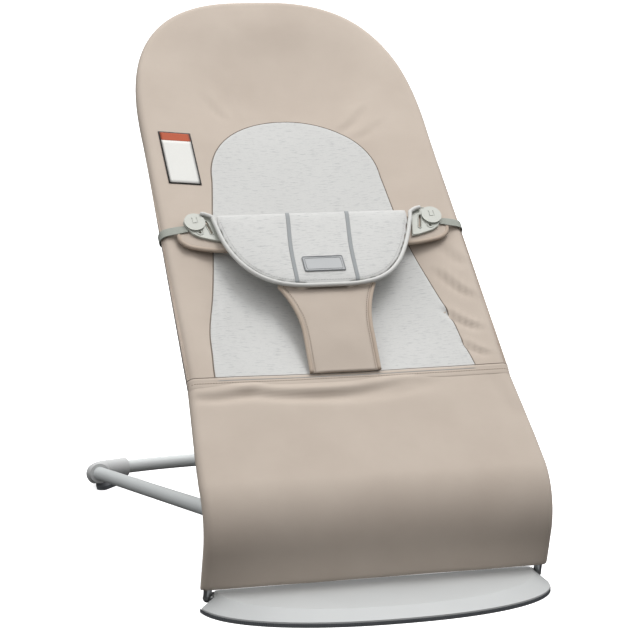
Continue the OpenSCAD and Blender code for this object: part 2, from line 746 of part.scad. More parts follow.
buckle_plate(1);  // right_buckle_plate
toggle(-1);  // left_toggle
toggle(1);  // right_toggle
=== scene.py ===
# %% [markdown]
# # A soft baby bouncer seat, dressed around its measured frame
# The frame, plate, brackets and buckles come in already measured and jointed. What is missing is
# everything soft, and every finish. This lesson sews the cover, its jersey inset, the belt and the
# small trims on top of the frame, then paints the whole seat and lights it like a catalogue page.
# Lengths in the lesson are in millimetres, as a pattern cutter would have them, and turn into
# Blender's metres in one place only, when a mesh is made.

# %% Load the frame
import json
import math

import bpy
import numpy as np
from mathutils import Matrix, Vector


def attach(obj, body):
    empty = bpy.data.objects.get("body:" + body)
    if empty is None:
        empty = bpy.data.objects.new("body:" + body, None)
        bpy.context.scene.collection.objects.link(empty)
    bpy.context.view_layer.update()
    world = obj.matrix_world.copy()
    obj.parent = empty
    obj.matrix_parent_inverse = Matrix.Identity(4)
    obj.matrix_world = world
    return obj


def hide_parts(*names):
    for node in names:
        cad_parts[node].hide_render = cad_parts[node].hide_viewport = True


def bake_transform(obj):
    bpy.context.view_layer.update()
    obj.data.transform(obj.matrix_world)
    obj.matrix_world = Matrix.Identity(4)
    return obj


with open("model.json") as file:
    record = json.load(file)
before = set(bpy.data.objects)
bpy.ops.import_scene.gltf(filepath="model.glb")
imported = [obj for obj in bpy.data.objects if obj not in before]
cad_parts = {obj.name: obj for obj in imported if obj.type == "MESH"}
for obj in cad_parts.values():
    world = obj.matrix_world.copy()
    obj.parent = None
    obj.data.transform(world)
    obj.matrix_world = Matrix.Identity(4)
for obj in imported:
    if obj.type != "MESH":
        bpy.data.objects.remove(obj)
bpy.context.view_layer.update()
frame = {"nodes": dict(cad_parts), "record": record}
nodes = frame["nodes"]
scene = bpy.context.scene

# %% [markdown]
# ## Camera, light and floor
# A catalogue shows a seat from a long way off through a long lens, so that its sides stay nearly
# parallel. The camera stands low, a little to the left of the seat's middle. The room is a white
# cyclorama: a wide pale floor, an even white sky, one big soft lamp high in front and two weaker
# ones that keep the folds from going flat.


# %% Camera
def unit(v):
    v = np.asarray(v, float)
    return v / np.linalg.norm(v)


CAMERA_AT = (-0.7584, -2.6029, 0.6621)
CAMERA_AZIMUTH, CAMERA_HEIGHT = math.radians(-16.738), math.radians(8.437)
SENSOR_WIDTH, LENS_LENGTH = 36.0, 131.23
eye = bpy.data.objects.new("camera", bpy.data.cameras.new("camera"))
eye.location = CAMERA_AT
looks_back = Vector(
    (
        math.sin(CAMERA_AZIMUTH) * math.cos(CAMERA_HEIGHT),
        -math.cos(CAMERA_AZIMUTH) * math.cos(CAMERA_HEIGHT),
        math.sin(CAMERA_HEIGHT),
    )
)
eye.rotation_euler = (-looks_back).to_track_quat("-Z", "Y").to_euler()
eye.data.sensor_width, eye.data.lens = SENSOR_WIDTH, LENS_LENGTH
scene.collection.objects.link(eye)
scene.camera = eye
scene.view_settings.view_transform = "Standard"


# %% Lights
def soft_light(name, at, to, size, power, colour=(1, 1, 1)):
    """A square soft box of that size in metres, standing at one point and facing another."""
    lamp = bpy.data.lights.new(name, "AREA")
    lamp.size, lamp.energy, lamp.color = size, power, colour
    ob = bpy.data.objects.new(name, lamp)
    ob.location = at
    ob.rotation_euler = (Vector(to) - Vector(at)).to_track_quat("-Z", "Y").to_euler()
    scene.collection.objects.link(ob)


middle = (0, -0.05, 0.3)
soft_light("key", (0.7, -0.5, 2.9), middle, 1.2, 34)
soft_light("left_fill", (-2.2, -1.3, 1.5), middle, 1.6, 4)
soft_light("rear_rim", (0.3, 2.0, 2.2), middle, 1.4, 10)
sky = bpy.data.worlds.new("studio")
sky.use_nodes = True
SKY = ((0.0, 0.04), (0.48, 0.07), (0.56, 0.26), (0.74, 0.85), (1.0, 1.45))
towards = sky.node_tree.nodes.new("ShaderNodeTexCoord")
split = sky.node_tree.nodes.new("ShaderNodeSeparateXYZ")
height = sky.node_tree.nodes.new("ShaderNodeMapRange")
shade = sky.node_tree.nodes.new("ShaderNodeValToRGB")
for k, v in {1: -1.0, 2: 1.0, 3: 0.0, 4: 1.0}.items():
    height.inputs[k].default_value = v
while len(shade.color_ramp.elements) < len(SKY):
    shade.color_ramp.elements.new(0.5)
for stop, (at, level) in zip(shade.color_ramp.elements, SKY):
    stop.position, stop.color = at, (level, level, level, 1)
background = sky.node_tree.nodes["Background"]
# The lens itself sees plain white paper behind the seat, and only the light comes from the gradient
ray = sky.node_tree.nodes.new("ShaderNodeLightPath")
paper = sky.node_tree.nodes.new("ShaderNodeMix")
paper.data_type = "RGBA"
paper.inputs[7].default_value = (1, 1, 1, 1)
for a, b in (
    (towards.outputs["Generated"], split.inputs[0]), (split.outputs["Z"], height.inputs[0]),
    (height.outputs[0], shade.inputs[0]), (shade.outputs[0], paper.inputs[6]),
    (ray.outputs["Is Camera Ray"], paper.inputs[0]), (paper.outputs[2], background.inputs["Color"]),
):
    sky.node_tree.links.new(a, b)
background.inputs["Strength"].default_value = 1.0
scene.world = sky

# %% [markdown]
# ## Writing a finish as arithmetic
# A procedural finish is a small calculation that runs at every point of a surface. Wiring it by
# hand hides the calculation, so the two classes below let it be written as one. `Wire` is a node's
# output that can be added, subtracted or multiplied, and each of these lays down a Math node.
# `Finish` is a material: its `node` method adds any other node, sets it up and plugs it in.


# %% Shader maths
class Wire:
    """A node's output, which can be used in a sum."""

    def __init__(self, finish, socket):
        self.finish, self.socket = finish, socket

    def math(self, operation, a, b=0.0):
        return self.finish.node("ShaderNodeMath", {0: a, 1: b}, operation=operation)

    def __add__(self, other):
        return self.math("ADD", self, other)

    def __sub__(self, other):
        return self.math("SUBTRACT", self, other)

    def __rsub__(self, other):
        return self.math("SUBTRACT", other, self)

    def __mul__(self, other):
        return self.math("MULTIPLY", self, other)

    __radd__, __rmul__ = __add__, __mul__

    def sine(self):
        return self.math("SINE", self)

    def size(self):
        return self.math("ABSOLUTE", self)

    def ramp(self, low, high):
        """0 below low, 1 above high and a straight line between them."""
        return self.finish.node(
            "ShaderNodeMapRange", {0: self, 1: low, 2: high, 3: 0.0, 4: 1.0}, clamp=True
        )


def paint(r, g, b):
    """A colour as a paint chart gives it, 0 to 255, turned into the linear light of a shader."""
    return tuple(
        c / 12.92 if c <= 0.04045 else ((c + 0.055) / 1.055) ** 2.4
        for c in (r / 255, g / 255, b / 255)
    ) + (1.0,)


class Finish:
    """A material for one finish of the seat."""

    def __init__(self, name, **constants):
        self.material = bpy.data.materials.new(name)
        self.material.use_nodes = True
        self.tree = self.material.node_tree
        self.shader = self.tree.nodes["Principled BSDF"]
        self.set(**constants)

    def node(self, kind, ins=None, out=0, **settings):
        """Adds a node, sets it up, fills or links its sockets and hands back one output."""
        n = self.tree.nodes.new(kind)
        for key, value in settings.items():
            setattr(n, key, value)
        for key, value in (ins or {}).items():
            self.plug(n.inputs[key], value)
        return Wire(self, n.outputs[out])

    def plug(self, socket, value):
        if isinstance(value, Wire):
            self.tree.links.new(value.socket, socket)
        else:
            socket.default_value = value

    def set(self, **values):
        """Sets or links the shader's own sockets; an underscore stands for a space."""
        for key, value in values.items():
            self.plug(self.shader.inputs[key.replace("_", " ")], value)
        return self

    def mix(self, share, a, b):
        """Colour a where share is 0 and colour b where it is 1."""
        return self.node("ShaderNodeMix", {0: share, 6: a, 7: b}, out=2, data_type="RGBA")

    def noise(self, where, scale, detail=3.0, rough=0.55):
        return self.node(
            "ShaderNodeTexNoise",
            {"Vector": where, "Scale": scale, "Detail": detail, "Roughness": rough},
        )

    def stretched(self, where, by):
        return self.node("ShaderNodeVectorMath", {0: where, 1: by}, operation="MULTIPLY")

    def axes(self, where):
        return [self.node("ShaderNodeSeparateXYZ", {0: where}, out=i) for i in range(3)]

    def bump(self, height, strength=0.5):
        """Height in millimetres becomes a tilt of the surface."""
        return self.node(
            "ShaderNodeBump", {"Strength": strength, "Distance": 0.001, "Height": height}
        )

    def on_cloth(self):
        """Millimetres across and along the cloth, which each sewn piece carries with it."""
        return self.node(
            "ShaderNodeAttribute", out=1, attribute_type="GEOMETRY", attribute_name="cloth"
        )

    def in_space(self):
        """Millimetres in the frame at rest, for a moulded or metal part."""
        return self.stretched(self.node("ShaderNodeTexCoord", out=3), (1000.0, 1000.0, 1000.0))


# %% [markdown]
# ## The cloths
# The cover is a plain-woven cotton. Its threads are too fine to see from where the camera stands,
# but they still soften the light, so the weave is a real bump: two sets of sine ridges that take
# turns on top, as warp and weft do. Slow clouds of colour and faint slubs keep the large plain
# areas from looking like paper. The inset and belt pad are a melange jersey, where pale and grey
# fibres are spun together, which shows as short flecks lying across the cloth over fine knit ribs.


# %% Woven cotton
def cotton(name, colour, shade, pitch=0.62, relief=0.09):
    f = Finish(name, Sheen_Weight=0.12, Sheen_Roughness=0.5, Specular_IOR_Level=0.22)
    at = f.on_cloth()
    x, y, _ = f.axes(at)
    step = math.pi / pitch
    warp, weft = (x * step).sine(), (y * step).sine()
    over = (warp * weft).ramp(-0.25, 0.25)
    threads = over * warp.size() + (1.0 - over) * weft.size()
    clouds = f.noise(at, 0.012, 4.0)
    slubs = f.noise(f.stretched(at, (0.05, 1.3, 1.0)), 1.0, 2.0).ramp(0.58, 0.78)
    fuzz = f.noise(at, 1.7, 2.0)
    tint = clouds.ramp(0.3, 0.7) * 0.55 + slubs * 0.18 + fuzz * 0.22
    f.set(
        Base_Color=f.mix(tint, colour, shade),
        Roughness=0.86 - 0.08 * threads,
        Normal=f.bump(threads * relief + f.noise(at, 0.35, 3.0) * 0.12, 0.55),
    )
    return f


beige_cloth = cotton("beige_cloth", paint(192, 180, 168), paint(179, 166, 154))
beige_binding = cotton("beige_binding", paint(184, 169, 155), paint(170, 155, 139), 0.5)


# %% Melange jersey
def jersey(name, pale, fleck, amount=1.0):
    f = Finish(name, Sheen_Weight=0.15, Sheen_Roughness=0.5, Specular_IOR_Level=0.2)
    at = f.on_cloth()
    x, y, _ = f.axes(at)
    long_flecks = f.noise(f.stretched(at, (0.085, 0.72, 1.0)), 1.0, 3.0, 0.6)
    short_flecks = f.noise(f.stretched(at, (0.3, 1.5, 1.0)), 1.0, 2.0, 0.6)
    clouds = f.noise(f.stretched(at, (0.01, 0.03, 1.0)), 1.0, 2.0)
    dark = long_flecks.ramp(0.54, 0.70) * 0.7 + short_flecks.ramp(0.56, 0.72) * 0.4
    dark = dark * (0.55 + 0.9 * clouds) * amount
    ribs = (x * (math.pi / 0.8)).sine().size()
    loops = (y * (math.pi / 0.55) + x * 1.1).sine().size()
    f.set(
        Base_Color=f.mix(dark, pale, fleck),
        Roughness=0.9 - 0.06 * ribs,
        Normal=f.bump(
            ribs * 0.10 + loops * 0.05 + long_flecks * 0.15 + f.noise(at, 0.25) * 0.15, 0.5
        ),
    )
    return f


melange_jersey = jersey("melange_jersey", paint(198, 198, 196), paint(164, 165, 166))
piping_jersey = jersey("piping_jersey", paint(204, 204, 201), paint(181, 182, 181), 0.5)


# %% Trim cloths
def ribbed(name, colour, shade, pitch, relief, along=0):
    """A knitted or woven band whose ribs run along one of its two directions."""
    f = Finish(name, Sheen_Weight=0.1, Specular_IOR_Level=0.25)
    at = f.on_cloth()
    axes = f.axes(at)
    ribs = (axes[along] * (math.pi / pitch)).sine().size()
    cross = (axes[1 - along] * (math.pi / (pitch * 0.6))).sine().size()
    soil = f.noise(at, 0.3, 3.0)
    f.set(
        # Rib valleys take the darker colour and rib tops the lighter one: painted shade that
        # follows the ribs' bump; soil adds random tone
        Base_Color=f.mix(ribs * 0.55 + cross * 0.2 + soil * 0.2, shade, colour),
        Roughness=0.8 - 0.1 * ribs,
        Normal=f.bump(ribs * relief + cross * relief * 0.3, 0.7),
    )
    return f


elastic_knit = ribbed("elastic_knit", paint(177, 180, 172), paint(128, 132, 124), 1.5, 0.35)
grey_tape = ribbed("grey_tape", paint(156, 159, 160), paint(128, 132, 134), 1.0, 0.15)
tag_satin = ribbed("tag_satin", paint(221, 221, 217), paint(207, 206, 202), 0.5, 0.04)
tag_border = ribbed("tag_border", paint(66, 62, 60), paint(38, 36, 35), 0.9, 0.12, 1)
tag_band = ribbed("tag_band", paint(184, 92, 62), paint(158, 74, 50), 0.6, 0.05)


def thread_and_shadow_finish(name, colour, shade):
    f = Finish(name, Sheen_Weight=0.2, Specular_IOR_Level=0.3)
    at = f.in_space()
    twist = f.noise(at, 1.5, 2.0)
    f.set(
        Base_Color=f.mix(twist, shade, colour),
        Roughness=0.75 - 0.15 * twist,
        Normal=f.bump(twist * 0.1, 0.4),
    )
    return f


beige_thread = thread_and_shadow_finish("beige_thread", paint(150, 134, 119), paint(127, 112, 98))
white_thread = thread_and_shadow_finish("white_thread", paint(192, 192, 190), paint(166, 167, 167))
# seam_shadow colours the dark cords along the seams: painted shadow lines, not thread
seam_shadow = thread_and_shadow_finish("seam_shadow", paint(120, 109, 99), paint(104, 94, 84))

# %% [markdown]
# ## The hard finishes
# Moulded parts carry the fine spark-eroded grain of their mould, a touch of colour drift where the
# plastic flowed, and a rub of shine where hands and floors touch them. Tubes are powder-coated,
# which leaves a faint orange-peel skin. The springs are bright drawn wire with lines along it.


# %% Moulded plastic, rubber and paint
def moulded(name, colour, shade, rough=0.5, grain=0.05, grain_size=0.8, **constants):
    f = Finish(name, **constants)
    at = f.in_space()
    pits = f.noise(at, grain_size, 2.0, 0.7)
    flow = f.noise(at, 0.012, 3.0)
    scuffs = f.noise(f.stretched(at, (0.02, 0.3, 0.3)), 1.0, 4.0).ramp(0.60, 0.75)
    f.set(
        Base_Color=f.mix(flow.ramp(0.3, 0.7) * 0.6 + pits * 0.25, colour, shade),
        Roughness=rough + 0.1 * pits - 0.08 * scuffs,
        Normal=f.bump(pits * grain + flow * 0.2, 0.5),
    )
    return f


plate_plastic = moulded("plate_plastic", paint(190, 192, 192), paint(183, 185, 185), 0.5)
foot_plastic = moulded("foot_plastic", paint(215, 216, 216), paint(201, 202, 202), 0.45)
buckle_plastic = moulded(
    "buckle_plastic", paint(178, 180, 172), paint(170, 172, 164), 0.36, 0.03
)
label_plastic = moulded("label_plastic", paint(161, 163, 164), paint(150, 152, 154), 0.4)
label_rim = moulded("label_rim", paint(129, 131, 133), paint(115, 119, 121), 0.4)
black_plastic = moulded("black_plastic", paint(34, 34, 35), paint(24, 24, 25), 0.45)
rubber = moulded("rubber", paint(104, 107, 111), paint(86, 89, 93), 0.72, 0.12, 0.5)
tube_paint = moulded(
    "tube_paint", paint(222, 226, 226), paint(214, 218, 218), 0.34, 0.05, 0.25
)


# %% Drawn wire
def drawn_wire():
    f = Finish("steel", Metallic=1.0)
    at = f.in_space()
    lines = f.noise(f.stretched(at, (3.0, 0.15, 0.15)), 1.0, 2.0)
    f.set(
        Base_Color=f.mix(lines, paint(176, 178, 181), paint(208, 210, 212)),
        Roughness=0.24 + 0.18 * lines,
        Normal=f.bump(lines * 0.05, 0.4),
    )
    return f


steel = drawn_wire()

# %% [markdown]
# Each part that arrived measured now takes the finish that its record names. A moulded edge is
# never sharp, so the visible mouldings also get a small bevel, which catches a line of light.

# %% Dress the measured parts
FINISH_OF_SLOT = {
    "plate": plate_plastic,
    "rubber": rubber,
    "steel": steel,
    "wire": steel,
    "black_plastic": black_plastic,
    "grey_plastic": foot_plastic,
    "tube_paint": tube_paint,
    "beige_cloth": beige_cloth,
    "melange_jersey": melange_jersey,
    "elastic_knit": elastic_knit,
    "woven_tag": tag_satin,
    "buckle_plastic": buckle_plastic,
}
slot_of_node = {part["node"]: part["material_slot"] for part in frame["record"]["subparts"]}
for name, part in nodes.items():
    finish = FINISH_OF_SLOT.get(slot_of_node.get(name, ""), foot_plastic)
    part.data.materials.clear()
    part.data.materials.append(finish.material)
print("slots:", sorted(set(slot_of_node.values())))


SHARP_EDGE = math.radians(35)


def soften(name, width):
    """A bevel on a measured part's sharp edges, width in millimetres."""
    b = nodes[name].modifiers.new("soft_edge", "BEVEL")
    b.width, b.segments, b.limit_method = width / 1000, 3, "ANGLE"
    b.angle_limit = SHARP_EDGE
    b.harden_normals = False


for side in ("left_", "right_"):
    soften(side + "buckle_plate", 0.5)
    soften(side + "toggle", 0.4)

# %% [markdown]
# ## Pattern cutting
# The whole sling follows one line seen from the side: up the shin, round the knee, and straight up
# the back. A place on the cloth is then three numbers: how far across, how far along that line,
# and how high it stands off the wires. Everything soft is drawn in those numbers.

# %% The side line
BACK_ANGLE = math.radians(44.7)
SHIN_DIRECTION = math.radians(90 + 17.5)
SHIN_LENGTH = 54.7
KNEE_RADIUS = 65.0
HINGE_Y, HINGE_Z = -288.0, 13.5
KNEE_LENGTH = KNEE_RADIUS * (SHIN_DIRECTION - BACK_ANGLE)
BACK_START = SHIN_LENGTH + KNEE_LENGTH
shin = np.array([math.cos(SHIN_DIRECTION), math.sin(SHIN_DIRECTION)])
up_back = np.array([math.cos(BACK_ANGLE), math.sin(BACK_ANGLE)])
inward = np.array([shin[1], -shin[0]])
knee_centre = np.array([HINGE_Y, HINGE_Z]) + SHIN_LENGTH * shin + KNEE_RADIUS * inward


def place(x, s, h):
    """Points of the sling: x across, s along the side line from the hinge, h off the wires."""
    x, s, h = np.broadcast_arrays(*(np.asarray(a, float) for a in (x, s, h)))
    turn = SHIN_DIRECTION - np.clip(s - SHIN_LENGTH, 0, KNEE_LENGTH) / KNEE_RADIUS
    low, high = np.minimum(s - SHIN_LENGTH, 0), np.maximum(s - BACK_START, 0)
    reach = KNEE_RADIUS + h
    y = knee_centre[0] - reach * np.sin(turn) + low * shin[0] + high * up_back[0]
    z = knee_centre[1] + reach * np.cos(turn) + low * shin[1] + high * up_back[1]
    return np.stack([x, y, z], axis=-1)


def on_back(x, v, h):
    """The same, with v measured up the back from the top of the knee."""
    return place(x, np.asarray(v, float) + BACK_START, h)


def through(x, xs, ys):
    """A smooth curve through the points (xs, ys)."""
    xs, ys = np.asarray(xs, float), np.asarray(ys, float)
    slope = np.gradient(ys, xs)
    x = np.clip(np.asarray(x, float), xs[0], xs[-1])
    i = np.clip(np.searchsorted(xs, x) - 1, 0, len(xs) - 2)
    w = xs[i + 1] - xs[i]
    t = (x - xs[i]) / w
    a, b = 2 * t**3 - 3 * t**2 + 1, t**3 - 2 * t**2 + t
    c, d = 3 * t**2 - 2 * t**3, t**3 - t**2
    return a * ys[i] + b * w * slope[i] + c * ys[i + 1] + d * w * slope[i + 1]


SEAM_V, ARCH_V, APEX_V, ARCH_HALF, ARCH_POWER = 126.0, 472.0, 700.0, 175.5, 2.73


def half_width(v):
    """Half the sling's width at v: nearly straight sides, then a squarish arch round the head."""
    v = np.asarray(v, float)
    t = np.clip((v - ARCH_V) / (APEX_V - ARCH_V), 0, 1)
    sides = np.interp(v, [0, SEAM_V, ARCH_V], [192.0, 183.75, ARCH_HALF])
    return np.where(v > ARCH_V, ARCH_HALF * (1 - t**ARCH_POWER) ** (1 / ARCH_POWER), sides)


# %% Rows, columns and distances from an edge
EDGE_STEPS = np.array([0.0, 0.25, 0.8, 1.7, 3.0, 4.6, 6.5, 9.0])


def columns(half, count):
    """Shares across a row, from -1 to 1, crowded where the cloth turns over its edge."""
    inner = np.linspace(0, 1 - EDGE_STEPS[-1] / half, count + 1)[:-1]
    right = np.concatenate([inner, (1 - EDGE_STEPS / half)[::-1]])
    return np.concatenate([-right[:0:-1], right])


def arch_rows(low, top, step):
    """Rows from low to top, crowded under a rounded top."""
    crown = top - np.array([0.02, 0.25, 0.8, 1.7, 3.0, 4.6, 6.5, 9.0, 12.0, 15.5, 19.5])[::-1]
    return np.concatenate([np.arange(low, crown[0] - step * 0.6, step), crown])


def distance_to(line, x, v):
    """How far each (x, v) lies from a polyline, in the flat of the cloth."""
    p = np.stack([x.ravel(), v.ravel()], 1)
    best = np.full(len(p), 1e9)
    for a, b in zip(line[:-1], line[1:]):
        d = b - a
        t = np.clip(((p - a) @ d) / max(d @ d, 1e-9), 0, 1)
        best = np.minimum(best, np.hypot(*(p - a - t[:, None] * d).T))
    return best.reshape(x.shape)


def outline(half, rows):
    """The outline of a piece that is half(v) wide either side, as one line from left to right."""
    right = np.stack([half(rows), rows], 1)
    left = right * [-1, 1]
    return np.concatenate([left, right[::-1]])


def grid(rows, shares, half):
    """Where the points of a piece lie, across and along, when it is half(v) wide either side."""
    v = np.repeat(rows[:, None], len(shares), 1)
    return half(v) * shares, v


def turned(d, radius):
    """0 on an edge and 1 further in than radius, along a quarter of an ellipse."""
    t = np.clip(d / radius, 0, 1)
    return np.sqrt(np.clip(1 - (1 - t) ** 2, 0, 1))


# %% [markdown]
# ## Making meshes
# Nearly every soft piece here is a grid of points with a front and a back, closed all round like a
# pillow case, or a tube along a line. The helpers here make those and turn them into objects that
# carry their cloth directions, their finish, and the body that they move with.


# %% Mesh helpers
def piece(name, points, faces, finish, body=None, replaces=(), cloth=None, smooth=True):
    """An object from points in millimetres. Cloth gives the place of each point on its pattern."""
    mesh = bpy.data.meshes.new(name)
    points = np.asarray(points, float).reshape(-1, 3)
    mesh.from_pydata((points / 1000).tolist(), [], [list(map(int, f)) for f in faces])
    mesh.update()
    mesh.polygons.foreach_set("use_smooth", [smooth] * len(mesh.polygons))
    flat = points if cloth is None else np.asarray(cloth, float).reshape(-1, 3)
    mesh.attributes.new("cloth", "FLOAT_VECTOR", "POINT").data.foreach_set(
        "vector", flat.astype(np.float32).ravel()
    )
    mesh.materials.append(finish.material)
    ob = bpy.data.objects.new(name, mesh)
    scene.collection.objects.link(ob)
    if body:
        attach(ob, body)
    if replaces:
        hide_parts(*replaces)
    return ob


def clean(faces):
    """Drops repeated corners, which a pinched quad has, and faces that this leaves too small."""
    kept = []
    for f in faces:
        f = [c for i, c in enumerate(f) if c != f[i - 1]]
        if len(f) > 2:
            kept.append(f)
    return kept


def trim(name, made, finish, body, replaces=()):
    """A piece from the points, faces and cloth places that one of the helpers below makes."""
    points, faces, cloth = made
    return piece(name, points, faces, finish, body, replaces, cloth)


def pillow(front, back):
    """Points and faces of a closed form whose front and back grids share their side edges."""
    rows, cols = front.shape[:2]
    f = np.arange(rows * cols).reshape(rows, cols)
    b = np.empty((rows, cols), int)
    b[:, 1:-1] = rows * cols + np.arange(rows * (cols - 2)).reshape(rows, cols - 2)
    b[:, 0], b[:, -1] = f[:, 0], f[:, -1]
    faces = []
    for r in range(rows - 1):
        for c in range(cols - 1):
            faces.append([f[r, c], f[r, c + 1], f[r + 1, c + 1], f[r + 1, c]])
            faces.append([b[r, c], b[r + 1, c], b[r + 1, c + 1], b[r, c + 1]])
    for c in range(cols - 1):
        faces.append([f[0, c], b[0, c], b[0, c + 1], f[0, c + 1]])
        faces.append([f[-1, c], f[-1, c + 1], b[-1, c + 1], b[-1, c]])
    points = np.concatenate([front.reshape(-1, 3), back[:, 1:-1].reshape(-1, 3)])
    return points, clean(faces)


def pattern(x, v):
    """The cloth places of a pillow: all of its front, then its back without the side edges."""
    flat = np.stack([x, v, np.zeros_like(x)], -1)
    return np.concatenate([flat.reshape(-1, 3), flat[:, 1:-1].reshape(-1, 3)])


def sewn(name, front, back, x, v, finish, body, replaces):
    """A piece that is a pillow, with x across and v along its pattern."""
    return trim(name, (*pillow(front, back), pattern(x, v)), finish, body, replaces)


def loft(loops):
    """Points and faces of closed loops joined in turn, with both ends filled."""
    rows, cols = loops.shape[:2]
    i = np.arange(rows * cols).reshape(rows, cols)
    faces = []
    for r in range(rows - 1):
        for c in range(cols):
            n = (c + 1) % cols
            faces.append([i[r, c], i[r, n], i[r + 1, n], i[r + 1, c]])
    return loops.reshape(-1, 3), faces + [list(i[0, ::-1]), list(i[-1])]


def units(rows):
    """Each row as a direction."""
    return rows / np.linalg.norm(rows, axis=1)[:, None]


def run_of(path):
    """How far along a path each of its points lies."""
    return np.concatenate([[0], np.cumsum(np.linalg.norm(np.diff(path, axis=0), axis=1))])


def respaced(path, step):
    """The path again with points about step apart."""
    path = np.asarray(path, float)
    run = run_of(path)
    at = np.linspace(0, run[-1], max(2, int(round(run[-1] / step)) + 1))
    return np.stack([np.interp(at, run, path[:, k]) for k in range(path.shape[1])], 1)


def closed(line):
    """A closed line with its first point again at its end."""
    return np.concatenate([line, line[:1]])


def eased(line, times):
    """A closed line, rounded by averaging each point with its neighbours."""
    for _ in range(times):
        line = (np.roll(line, 1, 0) + 2 * line + np.roll(line, -1, 0)) / 4
    return line


OFF_THE_BACK = np.array([0, -up_back[1], up_back[0]])


def tube(path, radius, sides=10, flatten=1.0):
    """A round or flattened cord along a path. Returns points, faces and cloth places."""
    path = np.asarray(path, float)
    radius = np.broadcast_to(radius, (len(path),))
    along = units(np.gradient(path, axis=0))
    side = units(np.cross(along, np.broadcast_to(OFF_THE_BACK, path.shape)))
    out = np.cross(side, along)
    turn = np.linspace(0, 2 * math.pi, sides, endpoint=False)
    loops = (
        path[:, None]
        + (radius[:, None] * np.cos(turn))[..., None] * side[:, None]
        + flatten * (radius[:, None] * np.sin(turn))[..., None] * out[:, None]
    )
    run, round_it = np.broadcast_arrays(run_of(path)[:, None], turn * radius.mean())
    return (*loft(loops), np.stack([run, round_it, np.zeros_like(run)], -1))


def joined(parts):
    """Several (points, faces, cloth) as one."""
    points, faces, cloth, n = [], [], [], 0
    for p, f, c in parts:
        p = np.asarray(p, float).reshape(-1, 3)
        points.append(p)
        cloth.append(np.asarray(c, float).reshape(-1, 3))
        faces += [[k + n for k in face] for face in f]
        n += len(p)
    return np.concatenate(points), faces, np.concatenate(cloth)


def stitches(path, pitch, length, radius):
    """A row of sewn stitches along a path: little plump grains with a gap between them."""
    path = respaced(path, pitch)
    grains = []
    for a, b in zip(path[:-1], path[1:]):
        m, d = (a + b) / 2, unit(b - a) * length / 2
        ends = np.array([m - d, m - d * 0.6, m + d * 0.6, m + d])
        grains.append(tube(ends, [radius * 0.4, radius, radius, radius * 0.4], 6))
    return joined(grains)


# %% [markdown]
# ## The cover
# The upper cover is a sock pulled over the head hoop. Its edge turns tightly over the tube, and its
# middle hangs behind it in a shallow bowl, deepest where a child sits and shallower behind the
# head. Cloth under tension between a stiff rim and a soft middle also pulls into a few soft creases
# that point at where it is held, so those are added as shallow valleys with a ridge beside each.
# A cloth simulation would find such a shape too, but drawing it keeps the bowl and creases where
# they belong and the sock clear of the tube inside it.

# %% How high the cloth stands
CLOTH_TOP, CLOTH_MID, CLOTH_BACK, TURN_RADIUS = 10.0, 1.5, 7.4, 9.0
BOWL_AT = [-200, 60, 126, 150, 190, 250, 320, 400, 470, 540, 610, 660, 700]
BOWL_DEPTH = [0, 0.5, 2, 6, 13, 18, 18, 16, 15.5, 17, 11.5, 3, 0]
# Each crease: from x, v, to x, v, its half width and depth
CREASES = [
    (134, 270, 164, 230, 3.6, 3.6),
    (128, 213, 161, 184, 3.4, 3.6),
    (138, 166, 162, 147, 3.2, 3.0),
    (148, 305, 166, 276, 6, 1.6),
    (-134, 240, -143, 152, 6, 2.0),
    (-89, 550, -71, 516, 4.5, 1.5),
    (-56, 560, -57, 520, 4.5, 1.3),
    (72, 492, 104, 524, 4.5, 1.7),
    (88, 478, 118, 500, 5, 0.9),
    (-150, 330, -160, 270, 7, 1.0),
]


def creases(x, v, marks):
    """Shallow valleys along straight marks, each with a lower ridge beside it."""
    total = np.zeros(np.broadcast(x, v).shape)
    for x0, v0, x1, v1, width, depth in marks:
        dx, dv = x1 - x0, v1 - v0
        length = math.hypot(dx, dv)
        t = ((x - x0) * dx + (v - v0) * dv) / length**2
        bow = 0.05 * length * np.sin(np.pi * np.clip(t, 0, 1))
        off = ((x - x0) * -dv + (v - v0) * dx) / length + bow
        fade = np.clip(np.minimum(t + 0.25, 1.25 - t) / 0.5, 0, 1)
        fade = fade * fade * (3 - 2 * fade)
        ridge = 0.7 * np.exp(-(((off - 1.7 * width) / width) ** 2))
        total += depth * fade * (ridge - np.exp(-((off / width) ** 2)))
    return total


def ripple(x, v):
    """The slow unevenness of hung cloth, under a millimetre."""
    return 0.28 * np.sin(x * 0.031 + 1.3 + v * 0.011) * np.sin(v * 0.024 + 0.7) + 0.16 * np.sin(
        x * 0.067 - v * 0.041 + 2.1
    )


def bowl(x, v):
    share = np.clip(np.abs(x) / np.maximum(half_width(v), 1), 0, 1)
    return through(v, BOWL_AT, BOWL_DEPTH) * (1 - share**2) ** 1.5


rim_line = outline(half_width, np.concatenate([[-400.0], arch_rows(ARCH_V, APEX_V, 6.0)]))


def cover_height(x, v, rim=None):
    """Height of the cover's outer face."""
    rim = turned(distance_to(rim_line, x, v), TURN_RADIUS) if rim is None else rim
    loose = -bowl(x, v) + creases(x, v, CREASES) + ripple(x, v)
    return CLOTH_MID + rim * (CLOTH_TOP - CLOTH_MID + loose)


# %% Sew the upper cover
rows = arch_rows(SEAM_V + 0.4, APEX_V, 3.6)
x, v = grid(rows, columns(ARCH_HALF, 30), half_width)
rim = turned(distance_to(rim_line, x, v), TURN_RADIUS)
front = on_back(x, v, cover_height(x, v, rim))
rear = on_back(x, v, CLOTH_MID - rim * (CLOTH_MID + CLOTH_BACK + bowl(x, v) * 0.9))
cover = sewn(
    "seat_cover_sock", front, rear, x, v, beige_cloth, "seat", ["seat_cover"]
)
# Two layers of this cut, front and back, are joined round the hoop
layer = float(np.trapz(2 * half_width(rows), rows)) * 1e-6
print("upper cover: one layer is", round(layer, 4), "m2")

